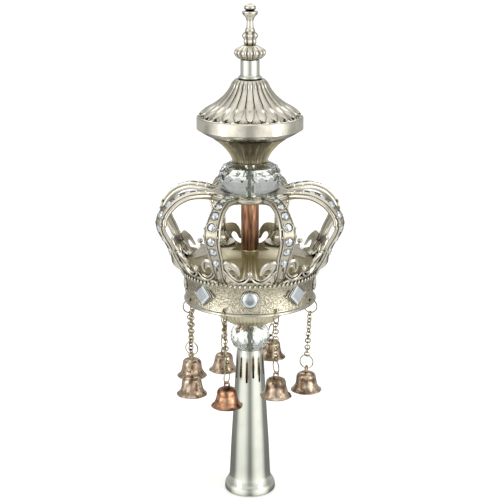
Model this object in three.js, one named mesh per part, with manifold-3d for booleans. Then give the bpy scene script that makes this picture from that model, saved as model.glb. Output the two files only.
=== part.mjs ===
/**
 * Torah finial (rimmon): a jewelled crown on a tapering socket, between two cut-crystal beads,
 * under a fluted canopy with a spire, and with small bells hanging from its lip.
 *
 * Millimetres, +Z up. The origin is the centre of the foot's flat underside.
 */
import * as THREE from 'three';
import { mergeVertices } from 'three/addons/utils/BufferGeometryUtils.js';
import Module from 'manifold-3d';

const wasm = await Module();
wasm.setup();

// ---------------------------------------------------------------- driving sizes

const HEIGHT = 350;
const GAP = 0.3; // between pieces that stand on or in each other
const ROD_RADIUS = 2.4; // slim rod that everything is strung on
const BORE = ROD_RADIUS + GAP;

const SHAFT = { top: 108.2, foot: 18.3, wall: 1.3, socketDepth: 78, sides: 28 };
const SLOTS = { count: 14, width: 1.3, length: 15, top: 103, depth: 0.9, stagger: [0, -3.4, 1.2, -1.6] };

const BEAD_SIDES = 16;
const LOWER_BEAD = { bottom: SHAFT.top + GAP, height: 18, radius: 14 };
const UPPER_BEAD = { bottom: 221.9, height: 21.2, radius: 22 };

const CROWN = { arches: 8, lip: 46.5, waist: 44, rim: 48.4, bottom: 145.3, rimHeight: 168, floor: 152.2 };
const CROWN_SIDES = 24;
const ARCH_STEP = 360 / CROWN.arches;
const ARCH_OFFSET = ARCH_STEP / 2; // no arch stands straight in front
const ARCH_DEPTH = 6;
const STUB_DEPTH = 4.6; // the lower casting's roots of the arches are thinner
const SEAM = 0.44; // share of the arch's length that belongs to the lower casting
const SEAM_HALF_GAP = 0.0016; // share of the arch's length left open on each side of the seam
const HUB = { radius: 30.2, bottom: 219.1, bore: 7.2 };

const CANOPY = { bottom: 260.9, bandBottom: 266, bandTop: 274.2, top: 299.6, radius: 36.4, flutes: 24 };
const CUP_FLUTES = 20;
const NECK = { bottom: CANOPY.top + GAP, height: 13.2, radius: 6.5 };
const BUTTON_LOBES = 14;

const BELL = { radius: 11, height: 13, sides: 8, loop: [1.6, 2.2], wire: 0.5 };
const RING = { radius: 4.8, wire: 0.42, sides: 6 };
const LINK = { count: 5, halfWidth: 1.9, wire: 0.46 };
const LIP_HOLE = { height: 149.6, radius: 1.15 };
const RING_CIRCLE = 45.2; // radius of the circle on which the rings hang

/** Where each bell hangs: its azimuth, the height of its lip and its sideways drift. */
const BELLS = [
  { azimuth: -22.5, lip: 80.8, drift: [1.5, 0.5] },
  { azimuth: -67.5, lip: 80.0, drift: [0.8, 0] },
  { azimuth: -112.5, lip: 80.6, drift: [-0.6, 0] },
  { azimuth: -157.5, lip: 75.6, drift: [-2.4, 0.8] },
  { azimuth: 157.5, lip: 86.4, drift: [-1.6, -0.6] },
  { azimuth: 67.5, lip: 83.2, drift: [-2.2, 0] },
  { azimuth: 22.5, lip: 88.2, drift: [0.4, 0] },
];

const ROUND_STONE = { radius: 5.3, height: 2.0 };
const SQUARE_STONE = { halfDiagonal: 6.6, height: 1.9 };
const STONE = { height: 157.6, seat: 44.4 };

// ---------------------------------------------------------------- materials

const finish = (color, roughness, metalness) => (
  new THREE.MeshStandardMaterial({ color, roughness, metalness })
);
const nickel = () => finish(0xd2cfc0, 0.25, 1);
const agedNickel = () => finish(0xa9a594, 0.4, 1);
const copper = () => finish(0x8f6450, 0.4, 1);
const bellMetal = () => finish(0xb29c80, 0.35, 1);
const crystal = () => finish(0xcfd6cf, 0.05, 0);

// ---------------------------------------------------------------- geometry helpers

const radians = THREE.MathUtils.degToRad;

/** Joins shared corners, drops collapsed faces and turns all faces outwards. */
function weld(geometry) {
  const bare = geometry.clone();
  bare.deleteAttribute('normal');
  bare.deleteAttribute('uv');
  const merged = mergeVertices(bare, 1e-4);
  const { array } = merged.index;
  const position = merged.attributes.position;
  const [a, b, c] = [new THREE.Vector3(), new THREE.Vector3(), new THREE.Vector3()];
  const faces = [];
  let volume = 0;
  for (let i = 0; i < array.length; i += 3) {
    const [p, q, r] = array.slice(i, i + 3);
    if (p === q || q === r || r === p) continue;
    faces.push([p, q, r]);
    a.fromBufferAttribute(position, p);
    b.fromBufferAttribute(position, q);
    c.fromBufferAttribute(position, r);
    volume += a.dot(b.cross(c));
  }
  merged.setIndex((volume < 0 ? faces.map(([p, q, r]) => [p, r, q]) : faces).flat());
  return merged;
}

/** Turns a closed geometry into a solid that can be joined and cut. */
function solid(geometry) {
  const closed = weld(geometry);
  return new wasm.Manifold(new wasm.Mesh({
    numProp: 3,
    vertProperties: new Float32Array(closed.attributes.position.array),
    triVerts: new Uint32Array(closed.index.array),
  }));
}

const join = (solids) => solids.reduce((whole, piece) => whole.add(piece));
const cut = (body, tools) => tools.reduce((whole, tool) => whole.subtract(tool), body);

/** Gives the geometry of a solid back. */
function geometryOf(body) {
  const mesh = body.getMesh();
  const geometry = new THREE.BufferGeometry();
  geometry.setAttribute('position', new THREE.BufferAttribute(new Float32Array(mesh.vertProperties), 3));
  geometry.setIndex([...mesh.triVerts]);
  return geometry;
}

/** Moves every corner of a geometry by a function of its place. */
function reshape(geometry, move) {
  const position = geometry.attributes.position;
  const point = new THREE.Vector3();
  for (let i = 0; i < position.count; i += 1) {
    move(point.fromBufferAttribute(position, i));
    position.setXYZ(i, point.x, point.y, point.z);
  }
  return geometry;
}

/** Turns a profile of [radius, height] points about the Z axis. */
const turned = (profile, sides) => new THREE.LatheGeometry(
  profile.map(([r, z]) => new THREE.Vector2(r, z)), sides,
).rotateX(Math.PI / 2);

/** Closes an outline on itself, so that turning it gives a body with a bore. */
const closed = (profile) => [...profile, profile[0]];

/** Presses flutes into a turned body; depthAt gives their depth at a radius and a height. */
const flute = (geometry, count, depthAt) => reshape(geometry, (p) => {
  const radius = Math.hypot(p.x, p.y);
  const groove = (1 - Math.cos(count * (Math.atan2(p.y, p.x) + Math.PI / 2))) / 2;
  const scale = radius > 0 ? 1 - (depthAt(radius, p.z) * groove) / radius : 1;
  p.set(p.x * scale, p.y * scale, p.z);
});

/** Cuts coarser turned cores out of a turned body. */
const hollow = (outer, ...cores) => geometryOf(
  cut(solid(outer), cores.map(([core, sides]) => solid(turned(core, sides)))),
);

/** The drilling that lets the rod through, from one height to another. */
const drilling = (from, to) => {
  const radius = BORE + 0.1;
  return [[[0, from - 1], [radius, from - 1], [radius, to + 1], [0, to + 1]], 8];
};

/** Places a point at a radius, an azimuth in degrees from the front (-Y) and a height. */
const polar = (radius, azimuth, z) => new THREE.Vector3(
  radius * Math.sin(radians(azimuth)), -radius * Math.cos(radians(azimuth)), z,
);

/** Turns a geometry made for the front (-Y) round to an azimuth in degrees. */
const around = (geometry, azimuth) => geometry.clone().rotateZ(radians(azimuth));

const azimuths = (count, first = 0) => (
  Array.from({ length: count }, (_, i) => first + (i * 360) / count)
);

// ---------------------------------------------------------------- socket and beads

function shaftGeometry() {
  const { top, foot, wall, socketDepth, sides } = SHAFT;
  const neck = { radius: 9.5, height: top - 2.4 };
  const shoulder = { radius: 11.2, height: 83 };
  const outer = [
    [foot - 0.7, 0], [foot, 1.6], [foot - 0.2, 5], [foot - 2.2, 8], [foot - 3.4, 11], [12.6, 53],
    [shoulder.radius, shoulder.height], [neck.radius, neck.height], [8.7, top],
  ];
  const core = [
    [0, -1], [14.45, -1], [14.65 - wall, 12], [9.4, socketDepth], [BORE, socketDepth + 3], [BORE, top + 1],
    [0, top + 1],
  ];
  const lean = Math.atan2(shoulder.radius - neck.radius, neck.height - shoulder.height);
  const half = SLOTS.width / 2;
  const end = SLOTS.length / 2;
  const slot = new THREE.Shape([
    [-half, end], [-half, -end], [half, -end], [half, end],
  ].map(([x, y]) => new THREE.Vector2(x, y)));
  const slots = azimuths(SLOTS.count, 180 / sides).map((azimuth, i) => {
    const height = SLOTS.top - end + SLOTS.stagger[i % SLOTS.stagger.length];
    const wallAt = THREE.MathUtils.mapLinear(
      height, shoulder.height, neck.height, shoulder.radius, neck.radius,
    );
    const tool = new THREE.ExtrudeGeometry(slot, { depth: 4, bevelEnabled: false })
      .rotateX(Math.PI / 2 - lean).translate(0, -(wallAt - SLOTS.depth), height);
    return solid(around(tool, azimuth));
  });
  const body = solid(turned([[0, 0], ...outer, [0, top]], sides));
  return geometryOf(cut(body, [solid(turned(core, sides / 2)), ...slots]));
}

/** A cut bead: rings of facets, every second ring turned half a step, and a bore. */
function beadGeometry({ bottom, height, radius }, shares) {
  const rings = shares.map(([r, z]) => [r * radius, bottom + z * height]);
  const heights = rings.map(([, z]) => z);
  const step = Math.PI / BEAD_SIDES;
  const outline = closed([[BORE, bottom], ...rings, [BORE, bottom + height]]);
  return reshape(turned(outline, BEAD_SIDES), (p) => {
    const ring = heights.findIndex((z) => Math.abs(z - p.z) < 1e-4);
    const twisted = Math.hypot(p.x, p.y) > BORE + 1 && [1, 4].includes(ring);
    if (twisted) p.applyAxisAngle(new THREE.Vector3(0, 0, 1), step);
  });
}

const BEAD_CUT = [[0.62, 0], [0.86, 0.15], [1, 0.36], [1, 0.64], [0.86, 0.86], [0.62, 1]];

/** A bowl that hangs under the crown's floor, open at the top. */
function lowerCupGeometry() {
  const base = LOWER_BEAD.bottom + LOWER_BEAD.height + GAP;
  const top = CROWN.floor - GAP;
  const outer = turned([
    [0, base], [9, base], [13.6, base + 1.6], [18.3, base + 4], [24, base + 8.6], [29, base + 15.4],
    [31.5, top], [0, top],
  ], 20);
  const core = [[0, base + 2.4], [9, base + 2.4], [22, base + 9.2], [29.8, top + 1], [0, top + 1]];
  return hollow(outer, [core, 12], drilling(base, base + 3));
}

// ---------------------------------------------------------------- crown

/** How far out the flaring cresting stands at a height. */
const flareAt = (z) => {
  const rise = Math.max(z - CROWN.rimHeight, 0);
  return CROWN.rim - 1.2 + 0.3 * rise + 0.011 * rise * rise;
};

/** Centre line of an arch's outer face, from its root in the band to the hub, as [radius, height]. */
const ARCH_LINE = new THREE.CatmullRomCurve3([
  [47.4, 168.6], [53.6, 174.6], [57.6, 181.6], [60.6, 189], [64.4, 195.4], [67, 201], [67.4, 207.5],
  [64, 214.5], [56.8, 221.3], [46.5, 225.4], [36, 225.5], [25, 223.6],
].map(([r, z]) => new THREE.Vector3(0, -r, z)), false, 'centripetal');

/** Width of an arch along its length: narrow at the root, widest at the seam, slim at the hub. */
function archWidth(share) {
  const { mapLinear } = THREE.MathUtils;
  return share < SEAM ? mapLinear(share, 0, SEAM, 5.6, 12) : mapLinear(share, SEAM, 1, 12.4, 6.2);
}

/** Depth of an arch along its length: as thin as the band's wall at the root. */
const archDepth = (share) => (
  share < SEAM ? THREE.MathUtils.lerp(1.7, STUB_DEPTH, Math.min(share / (SEAM / 4), 1)) : ARCH_DEPTH
);

/** A stretch of arch: an extruded channel section that is bent along the arch's line. */
function archGeometry(from, to, steps) {
  const section = new THREE.Shape([
    [-0.5, -1], [0.5, -1], [0.46, 0], [0.3, -0.18], [-0.3, -0.18], [-0.46, 0],
  ].map(([x, y]) => new THREE.Vector2(x, y)));
  const bar = new THREE.ExtrudeGeometry(section, { depth: 1, steps, bevelEnabled: false });
  return reshape(bar, (p) => {
    const share = THREE.MathUtils.lerp(from, to, p.z);
    const along = ARCH_LINE.getTangentAt(share);
    const outward = new THREE.Vector3(0, -along.z, along.y);
    const place = ARCH_LINE.getPointAt(share).addScaledVector(outward, p.y * archDepth(share));
    p.copy(place.setX(p.x * archWidth(share)));
  });
}

/** One bay of the cresting between two uprights: a ball between two hooked scrolls. */
function crestingGeometry() {
  const half = [
    [2.4, 177.6], [7.5, 173.4], [15.8, 175.4], [14.2, 180], [8.2, 176], [10.4, 183], [13.2, 186],
    [19.5, 185.8], [19.5, 168.8],
  ];
  const otherHalf = half.map(([azimuth, z]) => [-azimuth, z]).reverse();
  const outline = [[0, 180], ...half, [7.5, 168.8], [-7.5, 168.8], ...otherHalf];
  const shape = new THREE.Shape(outline.map(([azimuth, z]) => new THREE.Vector2(azimuth, z)));
  const plate = new THREE.ExtrudeGeometry(shape, { depth: 1.4, bevelEnabled: false });
  return reshape(plate, (p) => p.copy(polar(flareAt(p.y) - p.z, p.x, p.y)));
}

function coronetGeometry() {
  const { bottom, floor, lip, waist, rim, rimHeight } = CROWN;
  const band = turned(closed([
    [43.3, bottom], [lip - 0.8, bottom], [lip, bottom + 1.6], [waist, bottom + 6],
    [waist + 0.4, rimHeight - 4.8], [rim, rimHeight - 0.6], [rim - 0.6, rimHeight + 1.6],
    [rim - 2.9, rimHeight + 1.6], [waist - 2, floor + 1.4], [BORE, floor + 1.4], [BORE, floor],
    [waist - 2, floor],
  ]), CROWN_SIDES);
  const uprights = azimuths(CROWN.arches, ARCH_OFFSET);
  const stub = archGeometry(0, SEAM - SEAM_HALF_GAP, 3);
  const hole = new THREE.CylinderGeometry(LIP_HOLE.radius, LIP_HOLE.radius, 8, 4)
    .translate(0, -RING_CIRCLE, LIP_HOLE.height);
  const raised = [
    ...azimuths(CROWN.arches).map((azimuth) => solid(around(crestingGeometry(), azimuth))),
    ...uprights.map((azimuth) => solid(around(stub, azimuth))),
  ];
  const holes = uprights.map((azimuth) => solid(around(hole, azimuth)));
  return geometryOf(cut(join([solid(band), ...raised]), holes));
}

function archesGeometry() {
  const { radius, bottom, bore } = HUB;
  const hub = turned(closed([
    [bore, bottom], [radius - 1, bottom], [radius, bottom + 2.6], [19.4, bottom + 5.4],
    [14.4, UPPER_BEAD.bottom - GAP], [bore, UPPER_BEAD.bottom - GAP],
  ]), 16);
  const arch = archGeometry(SEAM + SEAM_HALF_GAP, 1, 5);
  const arches = azimuths(CROWN.arches, ARCH_OFFSET).map((azimuth) => solid(around(arch, azimuth)));
  return geometryOf(join([solid(hub), ...arches]));
}

/** A clear round or square stone with a bevelled edge, set on the band at an azimuth. */
function stoneGeometry(radius, height, sides, azimuth) {
  const outline = [[0, 0], [radius, 0], [radius, 0.5], [radius * 0.72, height], [0, height]];
  const domed = [...outline.slice(0, 3), [radius * 0.7, height * 0.85], [0, height]];
  const stone = sides === 4 ? outline : domed;
  return around(turned(stone, sides).rotateX(Math.PI / 2)
    .translate(0, -(STONE.seat + 0.4 + GAP), STONE.height), azimuth);
}

// ---------------------------------------------------------------- inside the crown

const COLLAR = { bottom: CROWN.floor + 1.4 + GAP, top: 181.3 };

function collarGeometry() {
  const { bottom, top } = COLLAR;
  const outline = closed([
    [BORE, bottom], [11, bottom], [10.6, bottom + 3], [6.6, bottom + 11], [5.4, top - 8.5],
    [6.4, top], [BORE, top],
  ]);
  const fluted = (radius, z) => (radius > 5 && z < top - 1 && z > bottom + 1 ? 0.7 : 0);
  return flute(turned(outline, 16), 8, fluted);
}

const SLEEVE = { radius: 6.25, bottom: COLLAR.top + GAP, top: UPPER_BEAD.bottom - GAP };

const sleeveGeometry = () => turned(closed([
  [BORE + 1.6, SLEEVE.bottom], [SLEEVE.radius, SLEEVE.bottom], [SLEEVE.radius, SLEEVE.top],
  [BORE + 1.6, SLEEVE.top],
]), 12);

const rodGeometry = () => {
  const bottom = SHAFT.socketDepth + 6;
  const top = CANOPY.top - 4;
  return turned([[0, bottom], [ROD_RADIUS, bottom], [ROD_RADIUS, top], [0, top]], 8);
};

// ---------------------------------------------------------------- canopy and spire

function upperCupGeometry() {
  const base = UPPER_BEAD.bottom + UPPER_BEAD.height + GAP;
  const top = CANOPY.bottom - GAP;
  const outline = [[0, base], [11.6, base], [12.9, base + 2.5], [16, base + 8], [26.8, top], [0, top]];
  const fluted = (radius, z) => (z > base + 0.5 && radius > 12 && z < top - 0.1 ? 1.1 : 0);
  const outer = flute(turned(outline, 2 * CUP_FLUTES), CUP_FLUTES, fluted);
  const core = [[0, base + 3], [8, base + 3], [15, base + 10.6], [24.8, top + 1], [0, top + 1]];
  return hollow(outer, [core, 12], drilling(base, base + 4));
}

function canopyGeometry() {
  const { bottom, bandBottom, bandTop, top, radius, flutes } = CANOPY;
  const outline = [
    [0, bottom], [27.4, bottom], [radius, bandBottom + 0.3], [radius, bandTop], [33.6, bandTop + 2.9],
    [27.6, bandTop + 7.1], [18.2, bandTop + 14], [12, top - 1.6], [10.2, top],
    [0, top],
  ];
  const fluted = (r, z) => (z > bandTop + 1 && z < top - 0.1 && r > 11.5 ? Math.min(1.6, 0.09 * r) : 0);
  const outer = flute(turned(outline, 2 * flutes), flutes, fluted);
  const core = [
    [0, bottom - 1], [24.6, bottom - 1], [33, bandBottom + 1.6], [31.6, bandTop - 1], [10, top - 9],
    [0, top - 3],
  ];
  return hollow(outer, [core, 16], drilling(top - 4, top));
}

const neckGeometry = () => turned(closed([
  [BORE, NECK.bottom], [7.7, NECK.bottom], [8.1, NECK.bottom + 0.9], [7.2, NECK.bottom + 2],
  [NECK.radius, NECK.bottom + 3], [NECK.radius, NECK.bottom + NECK.height],
  [BORE, NECK.bottom + NECK.height],
]), 12);

/** One casting: fluted button, four-leaf knot, spindle, small cup and ball. */
function spireGeometry() {
  const base = NECK.bottom + NECK.height + GAP;
  const button = flute(turned([
    [0, base], [7.4, base], [9.8, base + 1.6], [10.7, base + 3.6], [9.6, base + 6.2], [5, base + 8.8],
    [0, base + 8.8],
  ], 2 * BUTTON_LOBES), BUTTON_LOBES, (radius) => (radius > 6 ? 1.1 : 0));
  const spindle = flute(turned([
    [0, base + 8], [3.6, base + 8], [5.1, base + 15], [3.2, base + 18.8], [2.4, base + 21.6],
    [2.6, base + 26], [5.3, base + 30.6], [3, base + 32.6], [3.9, base + 34], [2, HEIGHT - 1.4],
    [1.2, HEIGHT], [0, HEIGHT],
  ], 8), 4, (radius, z) => (z < base + 19 && z > base + 9 ? 0.28 * radius : 0));
  return geometryOf(join([solid(button), solid(spindle)]));
}

// ---------------------------------------------------------------- bells

/** A wire loop in the XZ plane, with a straight side below and above. */
function loopGeometry(halfWidth, halfHeight, wire, sides) {
  const corner = 1 / Math.cos(Math.PI / sides);
  return reshape(new THREE.TorusGeometry(2, 1, 3, sides).rotateZ(Math.PI / sides - Math.PI / 2), (p) => {
    const angle = Math.atan2(p.y, p.x);
    const offset = (Math.hypot(p.x, p.y) - 2) * wire;
    p.set(
      Math.cos(angle) * (halfWidth + offset) * corner, p.z * wire,
      Math.sin(angle) * (halfHeight + offset) * corner,
    );
  });
}

/** Bell, its loop and its clapper hang straight down below their wire ring. */
function bellGeometry() {
  const { radius, height, sides, loop: [halfWidth, halfHeight], wire } = BELL;
  const body = turned([
    [0, height - 0.9], [4.9, height - 2], [7.2, 3], [radius - 0.8, 0], [radius, 0.3], [8, 3.6],
    [6.2, height - 2.4], [4.6, height], [0, height],
  ], sides);
  const hanger = loopGeometry(halfWidth, halfHeight, wire, 4).translate(0, 0, height + halfHeight - 0.3);
  return geometryOf(join([solid(body), solid(hanger)]));
}

function clapperGeometry() {
  const shape = new THREE.Shape([
    [-0.5, 0], [0.5, 0], [0.6, -9.4], [1.7, -11.2], [1.2, -13.4], [-1.2, -13.4], [-1.7, -11.2],
    [-0.6, -9.4],
  ].map(([x, y]) => new THREE.Vector2(x, y)));
  return new THREE.ExtrudeGeometry(shape, { depth: 0.6, bevelEnabled: false })
    .translate(0, 0, -0.3).rotateX(Math.PI / 2).translate(0, 0, BELL.height - 1.6);
}

/** Chain links, each turned a quarter to the next one, as one strand of lozenges from z = 0 down. */
function strandGeometry(length) {
  const { count, halfWidth, wire } = LINK;
  const rows = 2 * count;
  const bar = new THREE.BoxGeometry(1, 1, length, 1, 1, rows).translate(0, 0, -length / 2);
  return reshape(bar, (p) => {
    const row = Math.round((-p.z / length) * rows);
    const inLink = row % 2 === 1;
    const along = Math.floor(row / 2) % 2 === 0;
    const [x, y] = inLink && along ? [halfWidth, wire] : inLink ? [wire, halfWidth] : [wire, wire];
    p.set(2 * p.x * x, 2 * p.y * y, p.z);
  });
}

/** Ring through the lip, strand of links and ring at the bell, fused where they bear on each other. */
function chainGeometry({ azimuth, lip, drift }) {
  const top = polar(RING_CIRCLE, azimuth, LIP_HOLE.height - RING.radius);
  const ringDrop = BELL.height + 2 * BELL.loop[1] - 0.3 - BELL.wire / 2 + RING.radius - RING.wire - GAP;
  const end = bellCentre({ azimuth, drift }).setZ(lip + ringDrop);
  const ring = () => (
    loopGeometry(RING.radius, RING.radius, RING.wire, RING.sides).rotateZ(radians(azimuth + 90))
  );
  const reach = top.distanceTo(end);
  const bearing = RING.radius - RING.wire / 2;
  const hang = new THREE.Quaternion().setFromUnitVectors(
    new THREE.Vector3(0, 0, -1), end.clone().sub(top).normalize(),
  );
  const strand = strandGeometry(reach - 2 * bearing).rotateZ(radians(azimuth)).translate(0, 0, -bearing);
  const pieces = [ring(), strand, ring().translate(0, 0, -reach)];
  return geometryOf(join(pieces.map((piece) => solid(piece.applyQuaternion(hang).translate(...top)))));
}

/** Point below which a bell hangs. */
function bellCentre({ azimuth, drift }) {
  return polar(RING_CIRCLE, azimuth, 0).add(new THREE.Vector3(drift[0], drift[1], 0));
}

// ---------------------------------------------------------------- assembly

const group = new THREE.Group();

function add(name, geometry, material) {
  const mesh = new THREE.Mesh(weld(geometry), material);
  mesh.name = name;
  group.add(mesh);
  return mesh;
}

add('shaft', shaftGeometry(), nickel());
add('lower_bead', beadGeometry(LOWER_BEAD, BEAD_CUT), crystal());
add('lower_cup', lowerCupGeometry(), agedNickel());
add('coronet', coronetGeometry(), nickel());
add('inner_collar', collarGeometry(), agedNickel());
add('copper_sleeve', sleeveGeometry(), copper());
add('centre_rod', rodGeometry(), agedNickel());
add('crown_arches', archesGeometry(), nickel());
add('upper_bead', beadGeometry(UPPER_BEAD, BEAD_CUT), crystal());
add('upper_cup', upperCupGeometry(), agedNickel());
add('canopy', canopyGeometry(), nickel());
add('neck', neckGeometry(), nickel());
add('spire', spireGeometry(), nickel());

azimuths(4).forEach((azimuth, i) => {
  const { radius, height } = ROUND_STONE;
  add(`round_stone_${i + 1}`, stoneGeometry(radius, height, 10, azimuth), crystal());
});
azimuths(4, ARCH_STEP).forEach((azimuth, i) => {
  const { halfDiagonal, height } = SQUARE_STONE;
  add(`square_stone_${i + 1}`, stoneGeometry(halfDiagonal, height, 4, azimuth), crystal());
});

BELLS.forEach((place, i) => {
  const centre = bellCentre(place).setZ(place.lip);
  const bell = add(`bell_${i + 1}`, bellGeometry(), bellMetal());
  bell.position.copy(centre);
  bell.rotation.z = radians(place.azimuth);
  add(`clapper_${i + 1}`, clapperGeometry(), bellMetal()).position.copy(centre);
  add(`chain_${i + 1}`, chainGeometry(place), agedNickel());
});

export default group;
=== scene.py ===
"""A crown-shaped torah finial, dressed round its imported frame.

Sizes in the classes are millimetres, with Z up along the finial's axis and -Y at the front.
A finished mesh is brought to metres when it becomes a piece.
"""

import logging
import math
from dataclasses import dataclass
from enum import Enum
from typing import Any, Callable, Iterable, Sequence

import bmesh
import bpy
from mathutils import Matrix, Vector, noise


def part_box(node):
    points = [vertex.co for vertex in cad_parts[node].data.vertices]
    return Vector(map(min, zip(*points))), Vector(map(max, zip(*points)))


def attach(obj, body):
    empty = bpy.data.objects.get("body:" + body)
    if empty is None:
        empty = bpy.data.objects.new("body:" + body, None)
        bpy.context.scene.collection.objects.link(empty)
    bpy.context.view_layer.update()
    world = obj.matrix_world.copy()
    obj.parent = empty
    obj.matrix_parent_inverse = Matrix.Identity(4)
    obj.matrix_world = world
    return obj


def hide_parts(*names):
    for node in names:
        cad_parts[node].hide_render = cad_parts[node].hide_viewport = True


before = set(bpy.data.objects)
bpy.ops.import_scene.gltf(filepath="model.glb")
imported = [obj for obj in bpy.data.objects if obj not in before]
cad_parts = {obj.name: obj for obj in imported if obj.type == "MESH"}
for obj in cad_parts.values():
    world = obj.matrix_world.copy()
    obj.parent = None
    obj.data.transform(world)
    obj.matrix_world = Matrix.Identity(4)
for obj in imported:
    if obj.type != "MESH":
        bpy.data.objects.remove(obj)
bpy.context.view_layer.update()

LOG = logging.getLogger("finial")
MM = 0.001
UP = Vector((0.0, 0.0, 1.0))
ZERO = Vector((0.0, 0.0, 0.0))
BORE = 2.7  # radius of the drilling that the centre rod passes through
ARCHES = 8
ARCH_STEP = 360 / ARCHES
ARCH_OFFSET = ARCH_STEP / 2  # no arch stands straight in front
RING_CIRCLE = 45.2  # radius of the circle of holes that the bells' rings pass through
BELL_AZIMUTHS = (-22.5, -67.5, -112.5, -157.5, 157.5, 67.5, 22.5)  # the eighth hole, at 112.5, is empty

Point = Sequence[float]


# ---------------------------------------------------------------- curves and places


def span(node: str) -> tuple[Vector, Vector]:
    """Gives the lowest and highest corner of a CAD node.

    Args:
        node: The node's name.

    Returns:
        Both corners, in millimetres.
    """
    low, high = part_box(node)
    return low / MM, high / MM


def polar(radius: float, azimuth: float, height: float) -> Vector:
    """Gives the point at a radius, at an azimuth in degrees from the front, and at a height."""
    angle = math.radians(azimuth)
    return Vector((radius * math.sin(angle), -radius * math.cos(angle), height))


def azimuths(count: int, first: float = 0.0) -> list[float]:
    """Gives evenly spread azimuths in degrees, starting from the first."""
    return [first + i * 360 / count for i in range(count)]


def lerp(start: float, end: float, share: float) -> float:
    """Gives the number that lies a share of the way from start to end, and no further."""
    return start + (end - start) * min(max(share, 0.0), 1.0)


def flow(points: Sequence[Point], steps: int = 6) -> list[Vector]:
    """Draws a smooth curve through points.

    Args:
        points: Two or more points, flat or in space.
        steps: How many stretches lie between two of them.

    Returns:
        The points along the curve, both ends included.
    """
    knots = [Vector(p) for p in points]
    knots = [2 * knots[0] - knots[1], *knots, 2 * knots[-1] - knots[-2]]
    curve = []
    for a, b, c, d in zip(knots, knots[1:], knots[2:], knots[3:]):
        for t in (k / steps for k in range(steps)):
            bend = (2 * a - 5 * b + 4 * c - d) * t * t + (3 * b - a - 3 * c + d) * t ** 3
            curve.append((2 * b + (c - a) * t + bend) / 2)
    return [*curve, knots[-2]]


def arc(centre: Point, radius: float, start: float, end: float, steps: int = 6) -> list[Vector]:
    """Draws a stretch of a flat circle between two angles in degrees."""
    angles = [math.radians(lerp(start, end, k / steps)) for k in range(steps + 1)]
    return [Vector(centre) + radius * Vector((math.cos(a), math.sin(a))) for a in angles]


class Route:
    """A smooth line in space that can be walked by its length."""

    def __init__(self, points: Sequence[Point], steps: int = 16) -> None:
        """Draws the line through the points."""
        self.points = flow(points, steps)
        self.marks = [0.0]
        for a, b in zip(self.points, self.points[1:]):
            self.marks.append(self.marks[-1] + (b - a).length)

    @property
    def length(self) -> float:
        """The line's whole length."""
        return self.marks[-1]

    def at(self, share: float) -> tuple[Vector, Vector]:
        """Gives the point and the direction at a share of the length."""
        reach = min(max(share, 0.0), 1.0) * self.length
        last = len(self.points) - 2
        i = next((k for k in range(last + 1) if self.marks[k + 1] >= reach), last)
        stretch = self.points[i + 1] - self.points[i]
        within = (reach - self.marks[i]) / stretch.length
        return self.points[i] + stretch * within, stretch.normalized()


def station(
    origin: Vector, right: Vector, out: Vector, wide: float = 1.0, deep: float = 1.0
) -> Matrix:
    """Gives the matrix that sets a flat section into space.

    Args:
        origin: Where the section's own origin goes.
        right: The unit direction of its first coordinate.
        out: The unit direction of its second coordinate.
        wide: Scale along right.
        deep: Scale along out.

    Returns:
        The 4x4 matrix.
    """
    axes = Matrix((right * wide, out * deep, right.cross(out))).transposed().to_4x4()
    return Matrix.Translation(origin) @ axes


def stations_along(
    points: Sequence[Vector], side: Vector, scale: Callable[[float], float] = lambda share: 1.0
) -> list[Matrix]:
    """Gives the stations of a section that follows points in space.

    Args:
        points: The points, in order.
        side: A direction that the line never runs along.
        scale: The section's scale at a share of the way.

    Returns:
        One station for each point.
    """
    frames = []
    last = len(points) - 1
    for i, point in enumerate(points):
        along = (points[min(i + 1, last)] - points[max(i - 1, 0)]).normalized()
        right = along.cross(side).normalized()
        size = scale(i / last)
        frames.append(station(point, right, along.cross(right), size, size))
    return frames


# ---------------------------------------------------------------- meshes


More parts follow.
